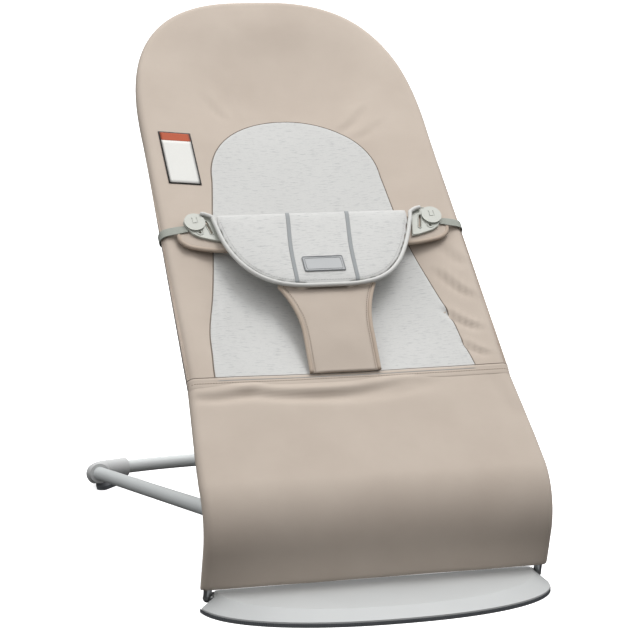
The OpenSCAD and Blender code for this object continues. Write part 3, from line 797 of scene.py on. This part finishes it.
# %% [markdown]
# ## The jersey inset
# A softer panel is let into the cover where the child's back lies. It is wide at the seat seam,
# narrows upwards and ends in a round top. Its edge is turned under and sewn down, so it stands a
# little proud of the cotton and dips at the seam, where a thin line of shade follows it round.

# %% Inset panel
INSET_ARCH_V, INSET_TOP_V, INSET_ARCH_HALF = 418.0, 512.0, 102.0


def inset_half(v):
    v = np.asarray(v, float)
    t = np.clip((v - INSET_ARCH_V) / (INSET_TOP_V - INSET_ARCH_V), 0, 1)
    low = through(
        v, [126, 145, 165, 190, 250, 300, 360, INSET_ARCH_V],
        [150, 148, 145, 142.5, 129, 118.5, 109.5, INSET_ARCH_HALF],
    )
    return np.where(v > INSET_ARCH_V, INSET_ARCH_HALF * np.sqrt(1 - t**2), low)


def inset_mid(v):
    """The inset is sewn in slightly skew."""
    return through(
        v, [60, 120, 165, 250, 330, 418, 512, 560], [-4, -4, -5.7, -5, -5.5, -1.5, 0, 0]
    )


rows = arch_rows(SEAM_V + 2, INSET_TOP_V, 4.0)
inset_line = outline(inset_half, np.concatenate([[60.0], rows]))
x, v = grid(rows, columns(120.0, 22), inset_half)
hug = turned(distance_to(inset_line, x, v), 3.0)
x = x + inset_mid(v)
base = cover_height(x, v)
inset = sewn(
    "jersey_inset", on_back(x, v, base + 0.15 + 0.95 * hug), on_back(x, v, base + 0.1 - 0.3 * hug),
    x, v, melange_jersey, "seat", ["inset_panel"],
)
float(np.trapz(2 * inset_half(rows), rows)) * 1e-6
edge = respaced(outline(inset_half, rows[:-1]), 3.0)
edge[:, 0] += inset_mid(edge[:, 1])
edge_path = on_back(edge[:, 0], edge[:, 1], cover_height(edge[:, 0], edge[:, 1]) + 0.25)
# A dark cord round the inset's edge: its seam line, with painted shadow along it
trim("inset_seam_shadow", tube(edge_path, 0.75, 8), seam_shadow, "seat")

# %% [markdown]
# ## The lower panel
# Below the seat seam one length of cotton runs down over the knee to the plate. It is sewn round a
# wire on either side and round a thin rod at the bottom, and is otherwise free. The wires flex when
# the seat bounces; here the panel is one fixed skin between the seat and the lower frame.

# %% Lower panel
HEM_S, PANEL_T = 12.0, 1.6
UNDER_STEPS = np.array([0.4, 1.2, 2.4, 3.8, 5.2])
PANEL_MARKS = [
    (-136, 111, 62, 114, 5.5, 3.2),
    (-176, 106, -110, 112, 5, 2.4),
    (-60, 103, 80, 108, 6, 1.6),
    (160, 112, 176, 64, 8, 1.0),
]


def panel_half(v):
    """The panel wraps the wires and their brackets, so it is a little wider below the seam."""
    return half_width(v) + np.interp(v, [-400, 40, 100, SEAM_V], [2.4, 2.4, 1.0, 0.5])


def panel_section(s):
    """One closed cut across the panel: its outer skin and, back again, its inner one."""
    v = s - BACK_START
    half = float(panel_half(v))
    shares = columns(half, 26)
    x = half * shares + 0 * v
    rim = turned(half - np.abs(x), TURN_RADIUS)
    hem = float(turned(np.array(s - HEM_S + 0.15), 8.0))
    loose = -bowl(x, np.full_like(x, v)) + creases(x, np.full_like(x, v), PANEL_MARKS)
    loose = loose + ripple(x, np.full_like(x, v))
    h = CLOTH_MID + rim * hem * (CLOTH_TOP - CLOTH_MID + loose)
    under_x = half - UNDER_STEPS
    under_h = CLOTH_MID - (CLOTH_MID + 7.0) * turned(UNDER_STEPS, 6.0)
    line_x = np.concatenate([-under_x[::-1], x, under_x])
    line_h = np.concatenate([under_h[::-1], h, under_h])
    d = units(np.stack([np.gradient(line_x), np.gradient(line_h)], 1))
    inner_x, inner_h = line_x + d[:, 1] * PANEL_T, line_h - d[:, 0] * PANEL_T
    skin_x = np.concatenate([line_x, inner_x[::-1]])
    skin_h = np.concatenate([line_h, inner_h[::-1]])
    flat = np.stack([skin_x, np.full_like(skin_x, v), np.zeros_like(skin_x)], -1)
    return place(skin_x, s, skin_h), flat


panel_rows = np.concatenate(
    [
        HEM_S + np.array([0.0, 0.4, 1.0, 2.0, 3.4, 5.2, 7.5]),
        np.arange(HEM_S + 10.5, BACK_START + SEAM_V - 3, 3.4),
        [BACK_START + SEAM_V - 0.4],
    ]
)
cuts = [panel_section(s) for s in panel_rows]
points, faces = loft(np.array([c[0] for c in cuts]))
panel = piece(
    "lower_panel_skin", points, faces, beige_cloth, None,
    ["lower_panel", "knee_panel"], cloth=np.array([c[1] for c in cuts]),
)
tuple(on_back(0, 30, 0) / 1000)
tuple(place(0, 40, 0) / 1000)
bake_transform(panel)
print("lower panel:", len(points), "points")

# %% [markdown]
# ## The seat seam
# Cover and lower panel meet in a flat-felled band across the front: a folded strip, stitched along
# its middle, which wraps round the sides. The cover's lower edge is tucked under its top fold, and
# the shade along that fold is a dark cord laid on it, a painted shadow line; the stitches below it
# are real grains of thread.

# %% Hem band and its stitches
BAND_HALF = 6.5


def band_grid(v_values, lift):
    half = panel_half(SEAM_V) + 0.3
    shares = columns(half, 30)
    v = np.repeat(v_values[:, None], len(shares), 1)
    x = half * shares + 0 * v
    rim = turned(half - np.abs(x), TURN_RADIUS)
    loose = -bowl(x, v) + ripple(x, v)
    return x, v, CLOTH_MID + rim * (CLOTH_TOP + lift - CLOTH_MID + loose)


cross = np.array([-1, -0.97, -0.88, -0.5, 0, 0.5, 0.88, 0.97, 1.0])
puff = np.array([0.05, 0.25, 0.45, 0.8, 0.7, 1.15, 1.4, 1.0, 0.1])
x, v, h = band_grid(SEAM_V + cross * BAND_HALF, 0.0)
front = on_back(x, v, h + puff[:, None])
rear = on_back(x, v, h - 0.6)
band = sewn("seat_seam_band", front, rear, x, v, beige_cloth, "seat", ["hem_band"])
x, v, h = band_grid(np.array([SEAM_V - 0.5, SEAM_V - 0.4]), 0.9)
seam_row = stitches(on_back(x, v, h)[0][4:-4], 3.0, 1.7, 0.42)
trim("seam_stitches", seam_row, beige_thread, "seat")
# A dark cord along the band's top edge: a painted shadow line where the fold's shade falls
x, v, h = band_grid(np.array([SEAM_V + BAND_HALF + 0.4, SEAM_V + BAND_HALF + 0.5]), 0.5)
band_edge_shadow = tube(on_back(x, v, h)[0][2:-2], 0.8, 8)
trim("seam_shadow_line", band_edge_shadow, seam_shadow, "seat")

# %% [markdown]
# ## The belt pad
# The belt is a soft D-shaped pad of the same jersey, filled with foam, with a piped edge and two
# tapes sewn down its front. Foam pushes the cloth out everywhere except where thread holds it, and
# this is the kind of shape a cloth simulation gives for nothing: the flat pad is remeshed, the
# sewn lines are pinned, a little air pressure is let in, and the result is bent to the pad's place.

# %% Where the belt stands
PAD_TOP_V, PAD_HEIGHT = 351.0, 113.0
PAD_LOW_V = PAD_TOP_V - PAD_HEIGHT
FLAP_V, STRAP_FOOT_H, BELT_LOW_H, BELT_HIGH_H = 132.5, 13.8, 25.0, 17.0
TAPE_X = 35.3


def tape_at(v, k):
    """Where the left or right tape runs: they drift a little across the pad."""
    return k * TAPE_X + np.interp(v, [PAD_LOW_V, PAD_TOP_V], [-0.5, 5.4])


def belt_height(v):
    """Height of the restraint's underside: it stands off most at the pad's lower edge."""
    v = np.asarray(v, float)
    rise = np.sin(np.clip((v - FLAP_V) / (PAD_LOW_V - FLAP_V), 0, 1) * math.pi / 2)
    low = STRAP_FOOT_H + (BELT_LOW_H - STRAP_FOOT_H) * rise
    high = BELT_LOW_H + (BELT_HIGH_H - BELT_LOW_H) * (v - PAD_LOW_V) / PAD_HEIGHT
    return np.where(v < PAD_LOW_V, low, high)


PAD_DOWN = [0, 6, 21, 41, 66, 88, 101, 108, 111.5, 113]
PAD_WIDE = [117.5, 118, 114.5, 109.5, 99.5, 85, 70, 55, 40, 26]


def pad_half(v):
    return through(PAD_TOP_V - np.asarray(v, float), PAD_DOWN, PAD_WIDE)


def hang(v):
    """How far the belt hangs to one side: little at its top, and more from its middle down."""
    return through(
        v, [100, FLAP_V, 190, PAD_LOW_V, 290, PAD_TOP_V, 400], [-7, -7, -6.5, -7.3, -7, -2, -1]
    )


def on_belt(x, v, h):
    """A place on the belt: h stands off its underside."""
    return on_back(x + hang(v), v, belt_height(v) + h)


def pad_edge(inset=0.0):
    """The pad's outline as one closed line: straight top, rounded corners and a U below."""
    v = PAD_TOP_V - PAD_HEIGHT * np.linspace(0, 1, 400)
    right = np.stack([pad_half(v), v], 1)
    line = np.concatenate([right, (right * [-1, 1])[::-1]])
    line = eased(respaced(closed(line), 3.0)[:-1], 6)
    if inset:
        d = units(np.roll(line, -1, 0) - np.roll(line, 1, 0))
        line = line + inset * np.stack([d[:, 1], -d[:, 0]], 1) * (1 if d[0, 1] < 0 else -1)
    return line


# %% Inflate the pad
def flat_pad(edge, low, high):
    """A slab between two heights with that outline, as points and faces."""
    n = len(edge)
    centre = edge.mean(0)
    rings = [centre + (edge - centre) * k for k in (1.0, 0.75, 0.5, 0.25)]
    points, faces = [], []
    for side, z in ((0, high), (1, low)):
        start = len(points)
        for ring in rings:
            points += [(a, b, z) for a, b in ring]
        points.append((*centre, z))
        for k in range(3):
            for i in range(n):
                a, b = start + k * n + i, start + k * n + (i + 1) % n
                q = [a, b, b + n, a + n]
                faces.append(q if side else q[::-1])
        for i in range(n):
            q = [start + 3 * n + i, start + 3 * n + (i + 1) % n, start + 4 * n]
            faces.append(q if side else q[::-1])
    half = 4 * n + 1
    faces += [[i, (i + 1) % n, half + (i + 1) % n, half + i] for i in range(n)]
    return np.array(points), faces


def shaped(ob):
    """A new mesh of what the object's modifiers make."""
    bpy.context.view_layer.update()
    return bpy.data.meshes.new_from_object(
        ob.evaluated_get(bpy.context.evaluated_depsgraph_get())
    )


def points_of(mesh):
    p = np.zeros(len(mesh.vertices) * 3, np.float32)
    mesh.vertices.foreach_get("co", p)
    return p.reshape(-1, 3).astype(float)


INFLATE_FRAMES = 20


def inflated(name, points, faces, voxel, pressure, cap, pinned):
    """Remeshes a closed slab, lets air in while the pinned points hold, and gives its mesh."""
    ob = piece(name, points, faces, melange_jersey)
    remesh = ob.modifiers.new("remesh", "REMESH")
    remesh.mode, remesh.voxel_size = "VOXEL", voxel / 1000
    ob.data = shaped(ob)
    ob.modifiers.clear()
    before = points_of(ob.data)
    group = ob.vertex_groups.new(name="sewn")
    held = pinned(before * 1000)
    for i in np.nonzero(held > 0.01)[0]:
        group.add([int(i)], float(held[i]), "REPLACE")
    cloth = ob.modifiers.new("cloth", "CLOTH")
    s = cloth.settings
    s.quality, s.mass = 6, 0.15
    s.tension_stiffness = s.compression_stiffness = 12
    s.shear_stiffness, s.bending_stiffness = 4, 0.6
    s.use_pressure, s.uniform_pressure_force = True, pressure
    s.vertex_group_mass = "sewn"
    s.effector_weights.gravity = 0
    cloth.point_cache.frame_start, cloth.point_cache.frame_end = 1, INFLATE_FRAMES
    for f in range(1, INFLATE_FRAMES + 1):
        scene.frame_set(f)
        bpy.context.view_layer.update()
    swollen = shaped(ob)
    ob.modifiers.clear()
    move = points_of(swollen) - before
    scene.frame_set(1)
    far = np.linalg.norm(move, axis=1)[:, None]
    move *= np.minimum(1, cap / 1000 / np.maximum(far, 1e-9))
    ob.data.vertices.foreach_set("co", (before + move).astype(np.float32).ravel())
    smooth = ob.modifiers.new("ease", "SMOOTH")
    smooth.factor, smooth.iterations = 0.5, 2
    finer = ob.modifiers.new("finer", "SUBSURF")
    finer.levels = finer.render_levels = 1
    mesh = shaped(ob)
    old = ob.data
    bpy.data.objects.remove(ob)
    bpy.data.meshes.remove(old)
    print(name, "swelled by up to", round(float(far.max()) * 1000, 1), "mm")
    return points_of(mesh) * 1000, [list(p.vertices) for p in mesh.polygons]


def pad_pins(p):
    """1 on the tapes' sewn lines and the piped edge, and less beside them."""
    x, v = p[:, 0], p[:, 1]
    beside = np.minimum(np.abs(x - tape_at(v, 1)), np.abs(x - tape_at(v, -1)))
    tape = np.exp(-((beside / 3.0) ** 2))
    edge = np.exp(-((distance_to(closed(pad_rim), x, v) / 3.0) ** 2))
    return np.clip(np.maximum(tape * 0.9, edge), 0, 1)


pad_rim = pad_edge(inset=1.8)
swell, pad_faces = inflated("pad_slab", *flat_pad(pad_rim, 2.2, 7.4), 4.0, 4.0, 5.0, pad_pins)
pad = trim(
    "belt_pad_cushion", (on_belt(*swell.T), pad_faces, swell),
    melange_jersey, "restraint", ["belt_pad"],
)
print("belt pad:", len(swell), "points")


# %% Its piping, tapes and label
def pad_front(x, v):
    """Height of the pad's front face beside its nearest points."""
    front = swell[swell[:, 2] > 4.8]
    h = []
    for a, b in zip(np.ravel(x), np.ravel(v)):
        near = np.argsort((front[:, 0] - a) ** 2 + (front[:, 1] - b) ** 2)[:6]
        h.append(front[near, 2].mean())
    return np.array(h).reshape(np.shape(x))


edge = pad_edge()
lower = edge[edge[:, 1] < PAD_TOP_V - 4]
order = np.argsort(np.arctan2(lower[:, 0], PAD_TOP_V - lower[:, 1]))
ear = np.array([(131.0, 351.5), (126.0, 350.5), (121.5, 348.0)])
lower = respaced(np.concatenate([ear * [-1, 1], lower[order], ear[::-1]]), 2.5)
pipe = on_belt(lower[:, 0], lower[:, 1], np.full(len(lower), 5.0))
piping = tube(pipe, 2.4, 12, flatten=1.1)
trim("pad_piping", piping, piping_jersey, "restraint")
inner = pad_edge(inset=6.6)
inner = inner[inner[:, 1] < PAD_TOP_V - 10]
inner = respaced(inner[np.argsort(np.arctan2(inner[:, 0], PAD_TOP_V - inner[:, 1]))], 2.5)
h = pad_front(inner[:, 0], inner[:, 1]) + 0.15
pad_row = stitches(on_belt(inner[:, 0], inner[:, 1], h), 3.2, 2.1, 0.34)
trim("pad_stitches", pad_row, white_thread, "restraint")
# A tape's cut: places across it, from edge to edge and back, and its height there
TAPE_ACROSS = np.array([-1, -0.96, -0.7, 0, 0.7, 0.96, 1, 0.7, -0.7])
TAPE_UP = np.array([0.0, 0.7, 1.0, 1.0, 1.0, 0.7, 0.0, -0.4, -0.4])


def ribbon(path_x, path_v, path_h, half, thick):
    """A flat band that runs up the belt along a path."""
    across, v = np.broadcast_arrays(TAPE_ACROSS * half, path_v[:, None])
    x = path_x[:, None] + across
    points, faces = loft(on_belt(x, v, path_h[:, None] + TAPE_UP * thick))
    return points, faces, np.stack([across, v + path_x[:, None], np.zeros_like(x)], -1)


tapes = []
for k in (-1, 1):
    tape_v = np.linspace(PAD_LOW_V + 4.0, PAD_TOP_V - 3.0, 34)
    tape_x = tape_at(tape_v, k)
    tape_h = pad_front(tape_x, tape_v) + 0.1
    tapes.append(ribbon(tape_x, tape_v, tape_h, 2.3, 0.7))
trim("pad_tapes", joined(tapes), grey_tape, "restraint")


def rounded_box(half_x, half_v, corner, count=6):
    """A rounded rectangle about the origin, as one closed line."""
    line = []
    for q, (sx, sv) in enumerate(((1, 1), (-1, 1), (-1, -1), (1, -1))):
        for t in np.linspace(0, math.pi / 2, count):
            a = t + q * math.pi / 2
            middle_x, middle_v = sx * (half_x - corner), sv * (half_v - corner)
            line.append((middle_x + corner * math.cos(a), middle_v + corner * math.sin(a)))
    return np.array(line)


LABEL_V, LABEL_HALF_X, LABEL_HALF_V, LABEL_T = 267.0, 24.0, 11.2, 0.8
label_h = float(pad_front(np.array([0.0]), np.array([LABEL_V]))[0])


def label_ring(inset, corner, z):
    """A rounded line on the pad, that far in from the label's edge."""
    ring = rounded_box(LABEL_HALF_X - inset, LABEL_HALF_V - inset, corner)
    return ring[:, 0], ring[:, 1] + LABEL_V, label_h + z


# The slab sinks a little into the pad, and its top edge is eased
steps = ((0.0, -0.6), (0.0, LABEL_T - 0.25), (0.3, LABEL_T), (2.5, LABEL_T))
points, faces = loft(np.array([on_belt(*label_ring(inset_by, 2.2, z)) for inset_by, z in steps]))
slab = (points, faces, points)
trim("pad_badge", slab, label_plastic, "restraint", ["pad_label"])
rims = []
for inset_by, radius in ((0.7, 0.65), (3.0, 0.35)):
    ring = closed(on_belt(*label_ring(inset_by, 1.6, LABEL_T + 0.05)))
    rims.append(tube(ring, radius, 6))
trim("pad_badge_rim", joined(rims), label_rim, "restraint")

# %% [markdown]
# ## The crotch strap
# A flat padded strap of cotton runs from the seat seam up under the pad and flares to meet it. Its
# two edges are rolled in a binding of the same cotton, painted a shade darker.
# It is sewn into the seam at its foot.


# %% Crotch strap
def strap_half(v):
    t = (np.asarray(v, float) - FLAP_V) / (PAD_LOW_V + 6 - FLAP_V)
    return 38.7 + 17.3 * np.clip((t - 0.42) / 0.58, 0, 1.1) ** 2


STRAP_T = 3.2
strap_rows = np.concatenate([[SEAM_V + 5.5], np.arange(SEAM_V + 8, PAD_LOW_V + 9, 3.2)])
shares = np.array([0, 0.25, 0.5, 0.72, 0.86, 0.94, 0.985, 1])
shares = np.concatenate([-shares[:0:-1], shares])
x, v = grid(strap_rows, shares, strap_half)
plump = (1 - np.abs(shares) ** 8) * (1 - 0.18 * np.exp(-(((np.abs(shares) - 0.86) / 0.06) ** 2)))
wave = 0.35 * np.sin(v * 0.12 + x * 0.05) * np.sin(x * 0.07 + 1.0)
top = wave - 0.4
strap = sewn(
    "crotch_strap_cloth",
    on_belt(x, v, top - STRAP_T / 2 + plump * STRAP_T / 2),
    on_belt(x, v, top - STRAP_T / 2 - plump * STRAP_T / 2),
    x, v, beige_cloth, None, ["crotch_strap"],
)
bindings, thread = [], []
for k in (-1, 1):
    edge_v = np.arange(SEAM_V + 6, PAD_LOW_V + 8, 3.0)
    edge_x = k * strap_half(edge_v)
    bindings.append(tube(on_belt(edge_x, edge_v, -1.9), 2.35, 10))
    thread.append(stitches(on_belt(edge_x - k * 4.2, edge_v, -0.25), 3.0, 2.0, 0.32))
binding = trim("strap_binding", joined(bindings), beige_binding, None)
strap_thread = trim("strap_stitches", joined(thread), beige_thread, None)
for soft in (strap, binding, strap_thread):
    tuple(on_back(0, SEAM_V + 4, 12.5) / 1000)
    tuple(on_back(0, FLAP_V + 8, 12.5) / 1000)
    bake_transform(soft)

# %% [markdown]
# ## Wings, buckles and elastics
# Either side of the pad a small padded wing carries the buckle. The buckle is a flat moulding with
# a raised rim, a slot and a keyhole; a round toggle sits over its nose, and a ribbed elastic runs
# from under the toggle round the edge of the seat. When the belt is undone the elastics stay on
# the seat.


# %% Wings
def round_line(corners, step, ease):
    """A closed line through the corners, rounded by averaging."""
    return eased(respaced(closed(np.array(corners, float)), step)[:-1], ease)


WING = [
    (92, 303), (118, 304), (136, 307), (151, 311), (159, 318), (161, 328), (153, 337), (140, 340),
    (92, 340),
]
WING_H, WING_T = 11.9, 3.6
WING_SHIFT = {"left": (0.5, 0.0), "right": (-2.0, 2.5)}
# Rings of the wing's slab: each ring's share of the outline, and its height in the thickness
WING_STEPS = (
    (0.825, 0.0), (0.985, 0.36), (1.0, 1.2), (1.0, 2.4), (0.985, 3.12), (0.94, 3.48),
    (0.825, 3.6), (0.6, 3.95), (0.2, 4.1),
)


def wing_slab(line, k):
    """A cushion-edged slab on the back with that outline."""
    centre = line.mean(0)
    loops, flats = [], []
    for share, h in WING_STEPS:
        ring = centre + (line - centre) * share
        loops.append(on_back(k * ring[:, 0], ring[:, 1], WING_H + h))
        flats.append(np.stack([ring[:, 0], ring[:, 1], np.zeros(len(ring))], 1))
    return (*loft(np.array(loops)), np.array(flats))


for side, k in (("left", -1), ("right", 1)):
    line = round_line(WING, 2.5, 3) + WING_SHIFT[side]
    wing = trim(
        side + "_wing_pad", wing_slab(line, k),
        beige_cloth, "restraint", [side + "_wing"],
    )
    ring = np.roll(line, -int(np.argmin(line[:, 0])), 0)
    ring = ring[ring[:, 0] > 100]
    roll = tube(on_back(k * ring[:, 0], ring[:, 1], WING_H + WING_T / 2), 2.5, 10)
    trim(side + "_wing_binding", roll, beige_binding, "restraint")


# %% Buckle rims
TOGGLE_X, TOGGLE_V, NOSE_R = 141.0, 341.0, 12.5
TOGGLE_AT = np.array([TOGGLE_X, TOGGLE_V])
BUCKLE_TOP = 18.7
LEAF = [
    (-13, 14), (-19, 12.5), (-22.5, 9.5), (-29.5, -28), (-22, -27), (-12, -24), (-2, -20.5),
    (5, -15.5),
]
lean = math.radians(-14)
leaning = np.array([[math.cos(lean), math.sin(lean)], [-math.sin(lean), math.cos(lean)]])


def arc(centre, radius, start, end, count):
    """Points of an arc about a centre, between two angles in degrees."""
    turn = np.linspace(math.radians(start), math.radians(end), count)
    return np.array(centre) + radius * np.stack([np.cos(turn), np.sin(turn)], 1)


leaf = round_line(np.concatenate([arc((0, 0), NOSE_R, -36, 90, 12), LEAF]), 1.6, 1)
leaf = leaf.mean(0) + (leaf - leaf.mean(0)) * 0.95
slot = rounded_box(2.0, 10.2, 1.9, 5) @ leaning + [-15.5, -7.5]
key = arc((-4.2, -13.6), 3.6, 200, 340, 9)
key = np.array([(key[0][0] - 0.3, -9.5), *key, (key[-1][0] + 0.3, -9.5)])
for side, k in (("left", -1), ("right", 1)):
    parts = []
    for line, lift, radius in ((closed(leaf), 0, 0.75), (closed(slot), 0.1, 0.7), (key, 0.1, 0.65)):
        across, along = (line + TOGGLE_AT).T
        parts.append(tube(on_back(k * across, along, BUCKLE_TOP + lift), radius, 8))
    rims = joined(parts)
    trim(side + "_buckle_rims", rims, buckle_plastic, "restraint")

# %% Elastics
ELASTIC_V = TOGGLE_V - 7.5
for side, k in (("left", -1), ("right", 1)):
    edge_x = float(half_width(ELASTIC_V)) + 0.9
    line = np.array([
        (150.0, 17.6), (154.5, 17.2), (160.0, 16.0), (167.0, 14.4), (172.0, 12.9), (176.0, 11.0),
        (edge_x - 0.4, 7.2), (edge_x + 0.5, 2.0), (edge_x - 0.2, -3.5), (edge_x - 4.0, -7.8),
        (edge_x - 12.0, -9.4), (edge_x - 24.0, -9.8),
    ])
    run = np.linspace(0, len(line) - 1, 60)
    lx = through(run, np.arange(len(line)), line[:, 0])
    lh = through(run, np.arange(len(line)), line[:, 1])
    widths = np.linspace(-1, 1, 23)
    d = units(np.stack([np.gradient(lx), np.gradient(lh)], 1))
    rib = 0.22 * np.abs(np.sin(widths * 5.5 * math.pi / 1.5))
    half = 5.4 - 0.9 * np.exp(-((run - 0.5) ** 2))
    vv = ELASTIC_V + half[:, None] * widths
    dx, dh, lift = d[:, :1], d[:, 1:], 0.35 + rib
    outer = on_back(k * (lx[:, None] - dh * lift), vv, lh[:, None] + dx * lift)
    inner_side = on_back(k * (lx[:, None] + dh * 0.5), vv, lh[:, None] - dx * 0.5)
    for end in (0, -1):
        outer[:, end] = (outer[:, end] + inner_side[:, end]) / 2
    length = np.cumsum(np.concatenate([[0], np.hypot(np.diff(lx), np.diff(lh))]))
    strip = sewn(
        side + "_elastic_band", outer, inner_side, vv, np.repeat(length[:, None], len(widths), 1),
        elastic_knit, "seat", [side + "_elastic"],
    )

# %% [markdown]
# ## The side tag
# A small satin tag is sewn flat to the cover beside the head. It is left blank: white satin, a dark
# overlocked border and one coloured band, with nothing printed on it.

# %% Side tag
TAG_X, TAG_V = (-157.0, -117.5), (409.0, 488.0)


def tag_sheet(x0, x1, v0, v1, lift, thick):
    xs, vs = np.linspace(x0, x1, 12), np.linspace(v0, v1, 16)
    x, v = np.meshgrid(xs, vs)
    h = cover_height(x, v) + lift
    return (*pillow(on_back(x, v, h + thick), on_back(x, v, h - 0.3)), pattern(x, v))


TAG_BORDER, TAG_BAND = 1.8, 13.5
inner_x = (TAG_X[0] + TAG_BORDER, TAG_X[1] - TAG_BORDER)
back_cloth = tag_sheet(*TAG_X, *TAG_V, 0.25, 0.5)
face_cloth = tag_sheet(*inner_x, TAG_V[0] + TAG_BORDER, TAG_V[1] - TAG_BAND, 0.5, 0.6)
band_cloth = tag_sheet(*inner_x, TAG_V[1] - TAG_BAND + 0.1, TAG_V[1] - TAG_BORDER, 0.5, 0.62)
tag = trim("tag_back", back_cloth, tag_border, "seat", ["side_tag"])
face = trim("tag_face", face_cloth, tag_satin, "seat")
stripe = trim("tag_stripe", band_cloth, tag_band, "seat")

# %% [markdown]
# ## The plate's tread
# A rubber tread runs round the plate's underside and shows as a thin dark line of fine ribs, which
# are what grips the floor. The ribs are small upright bars set round the same rounded outline.

# %% Tread ribs
PLATE_HALF, PLATE_DEPTH, PLATE_POWER, TREAD_T = 195.0, 107.0, 2.21, 4.2
turn = np.linspace(math.radians(2), math.radians(178), 900)
rim_points = np.stack(
    [
        PLATE_HALF * np.sign(np.cos(turn)) * np.abs(np.cos(turn)) ** (2 / PLATE_POWER),
        HINGE_Y - PLATE_DEPTH * np.sin(turn) ** (2 / PLATE_POWER),
    ],
    1,
)
rim_points = respaced(rim_points, 2.4)
ribs = []
for a, b in zip(rim_points[:-1], rim_points[1:]):
    m, d = (a + b) / 2, unit(b - a)
    n = np.array([-d[1], d[0]])
    n = n if n @ (m - [0, HINGE_Y + 40]) > 0 else -n
    tip, root = m + n * 0.55, m - n * 0.8
    corners = [tip - d * 0.35, tip + d * 0.35, root + d * 0.8, root - d * 0.8]
    loops = np.array([[(*c, z) for c in corners] for z in (0.35, TREAD_T - 0.35)])
    points, faces = loft(loops)
    ribs.append((points, faces, points))
points, faces, cloth = joined(ribs)
piece("tread_ribs", points, faces, rubber, "base", cloth=cloth, smooth=False)
print("tread ribs:", len(ribs))

# %% Floor
FLOOR_GLOW, FLOOR_HALF = (0.7, 0.7, 0.7, 1.0), 70000.0


def pale_floor():
    """A pale matt floor that glows a little, so that it melts into the white behind the seat."""
    f = Finish(
        "pale_floor", Specular_IOR_Level=0.1, Emission_Strength=1.0, Emission_Color=FLOOR_GLOW
    )
    dust = f.noise(f.in_space(), 0.004, 3.0)
    f.set(
        Base_Color=f.mix(dust, paint(249, 249, 249), paint(246, 246, 246)),
        Roughness=0.8 + 0.1 * dust,
    )
    return f


corners = [(a * FLOOR_HALF, b * FLOOR_HALF, 0) for a, b in ((-1, -1), (1, -1), (1, 1), (-1, 1))]
floor = piece("floor", corners, [[0, 1, 2, 3]], pale_floor())
floor.visible_diffuse = floor.visible_glossy = False
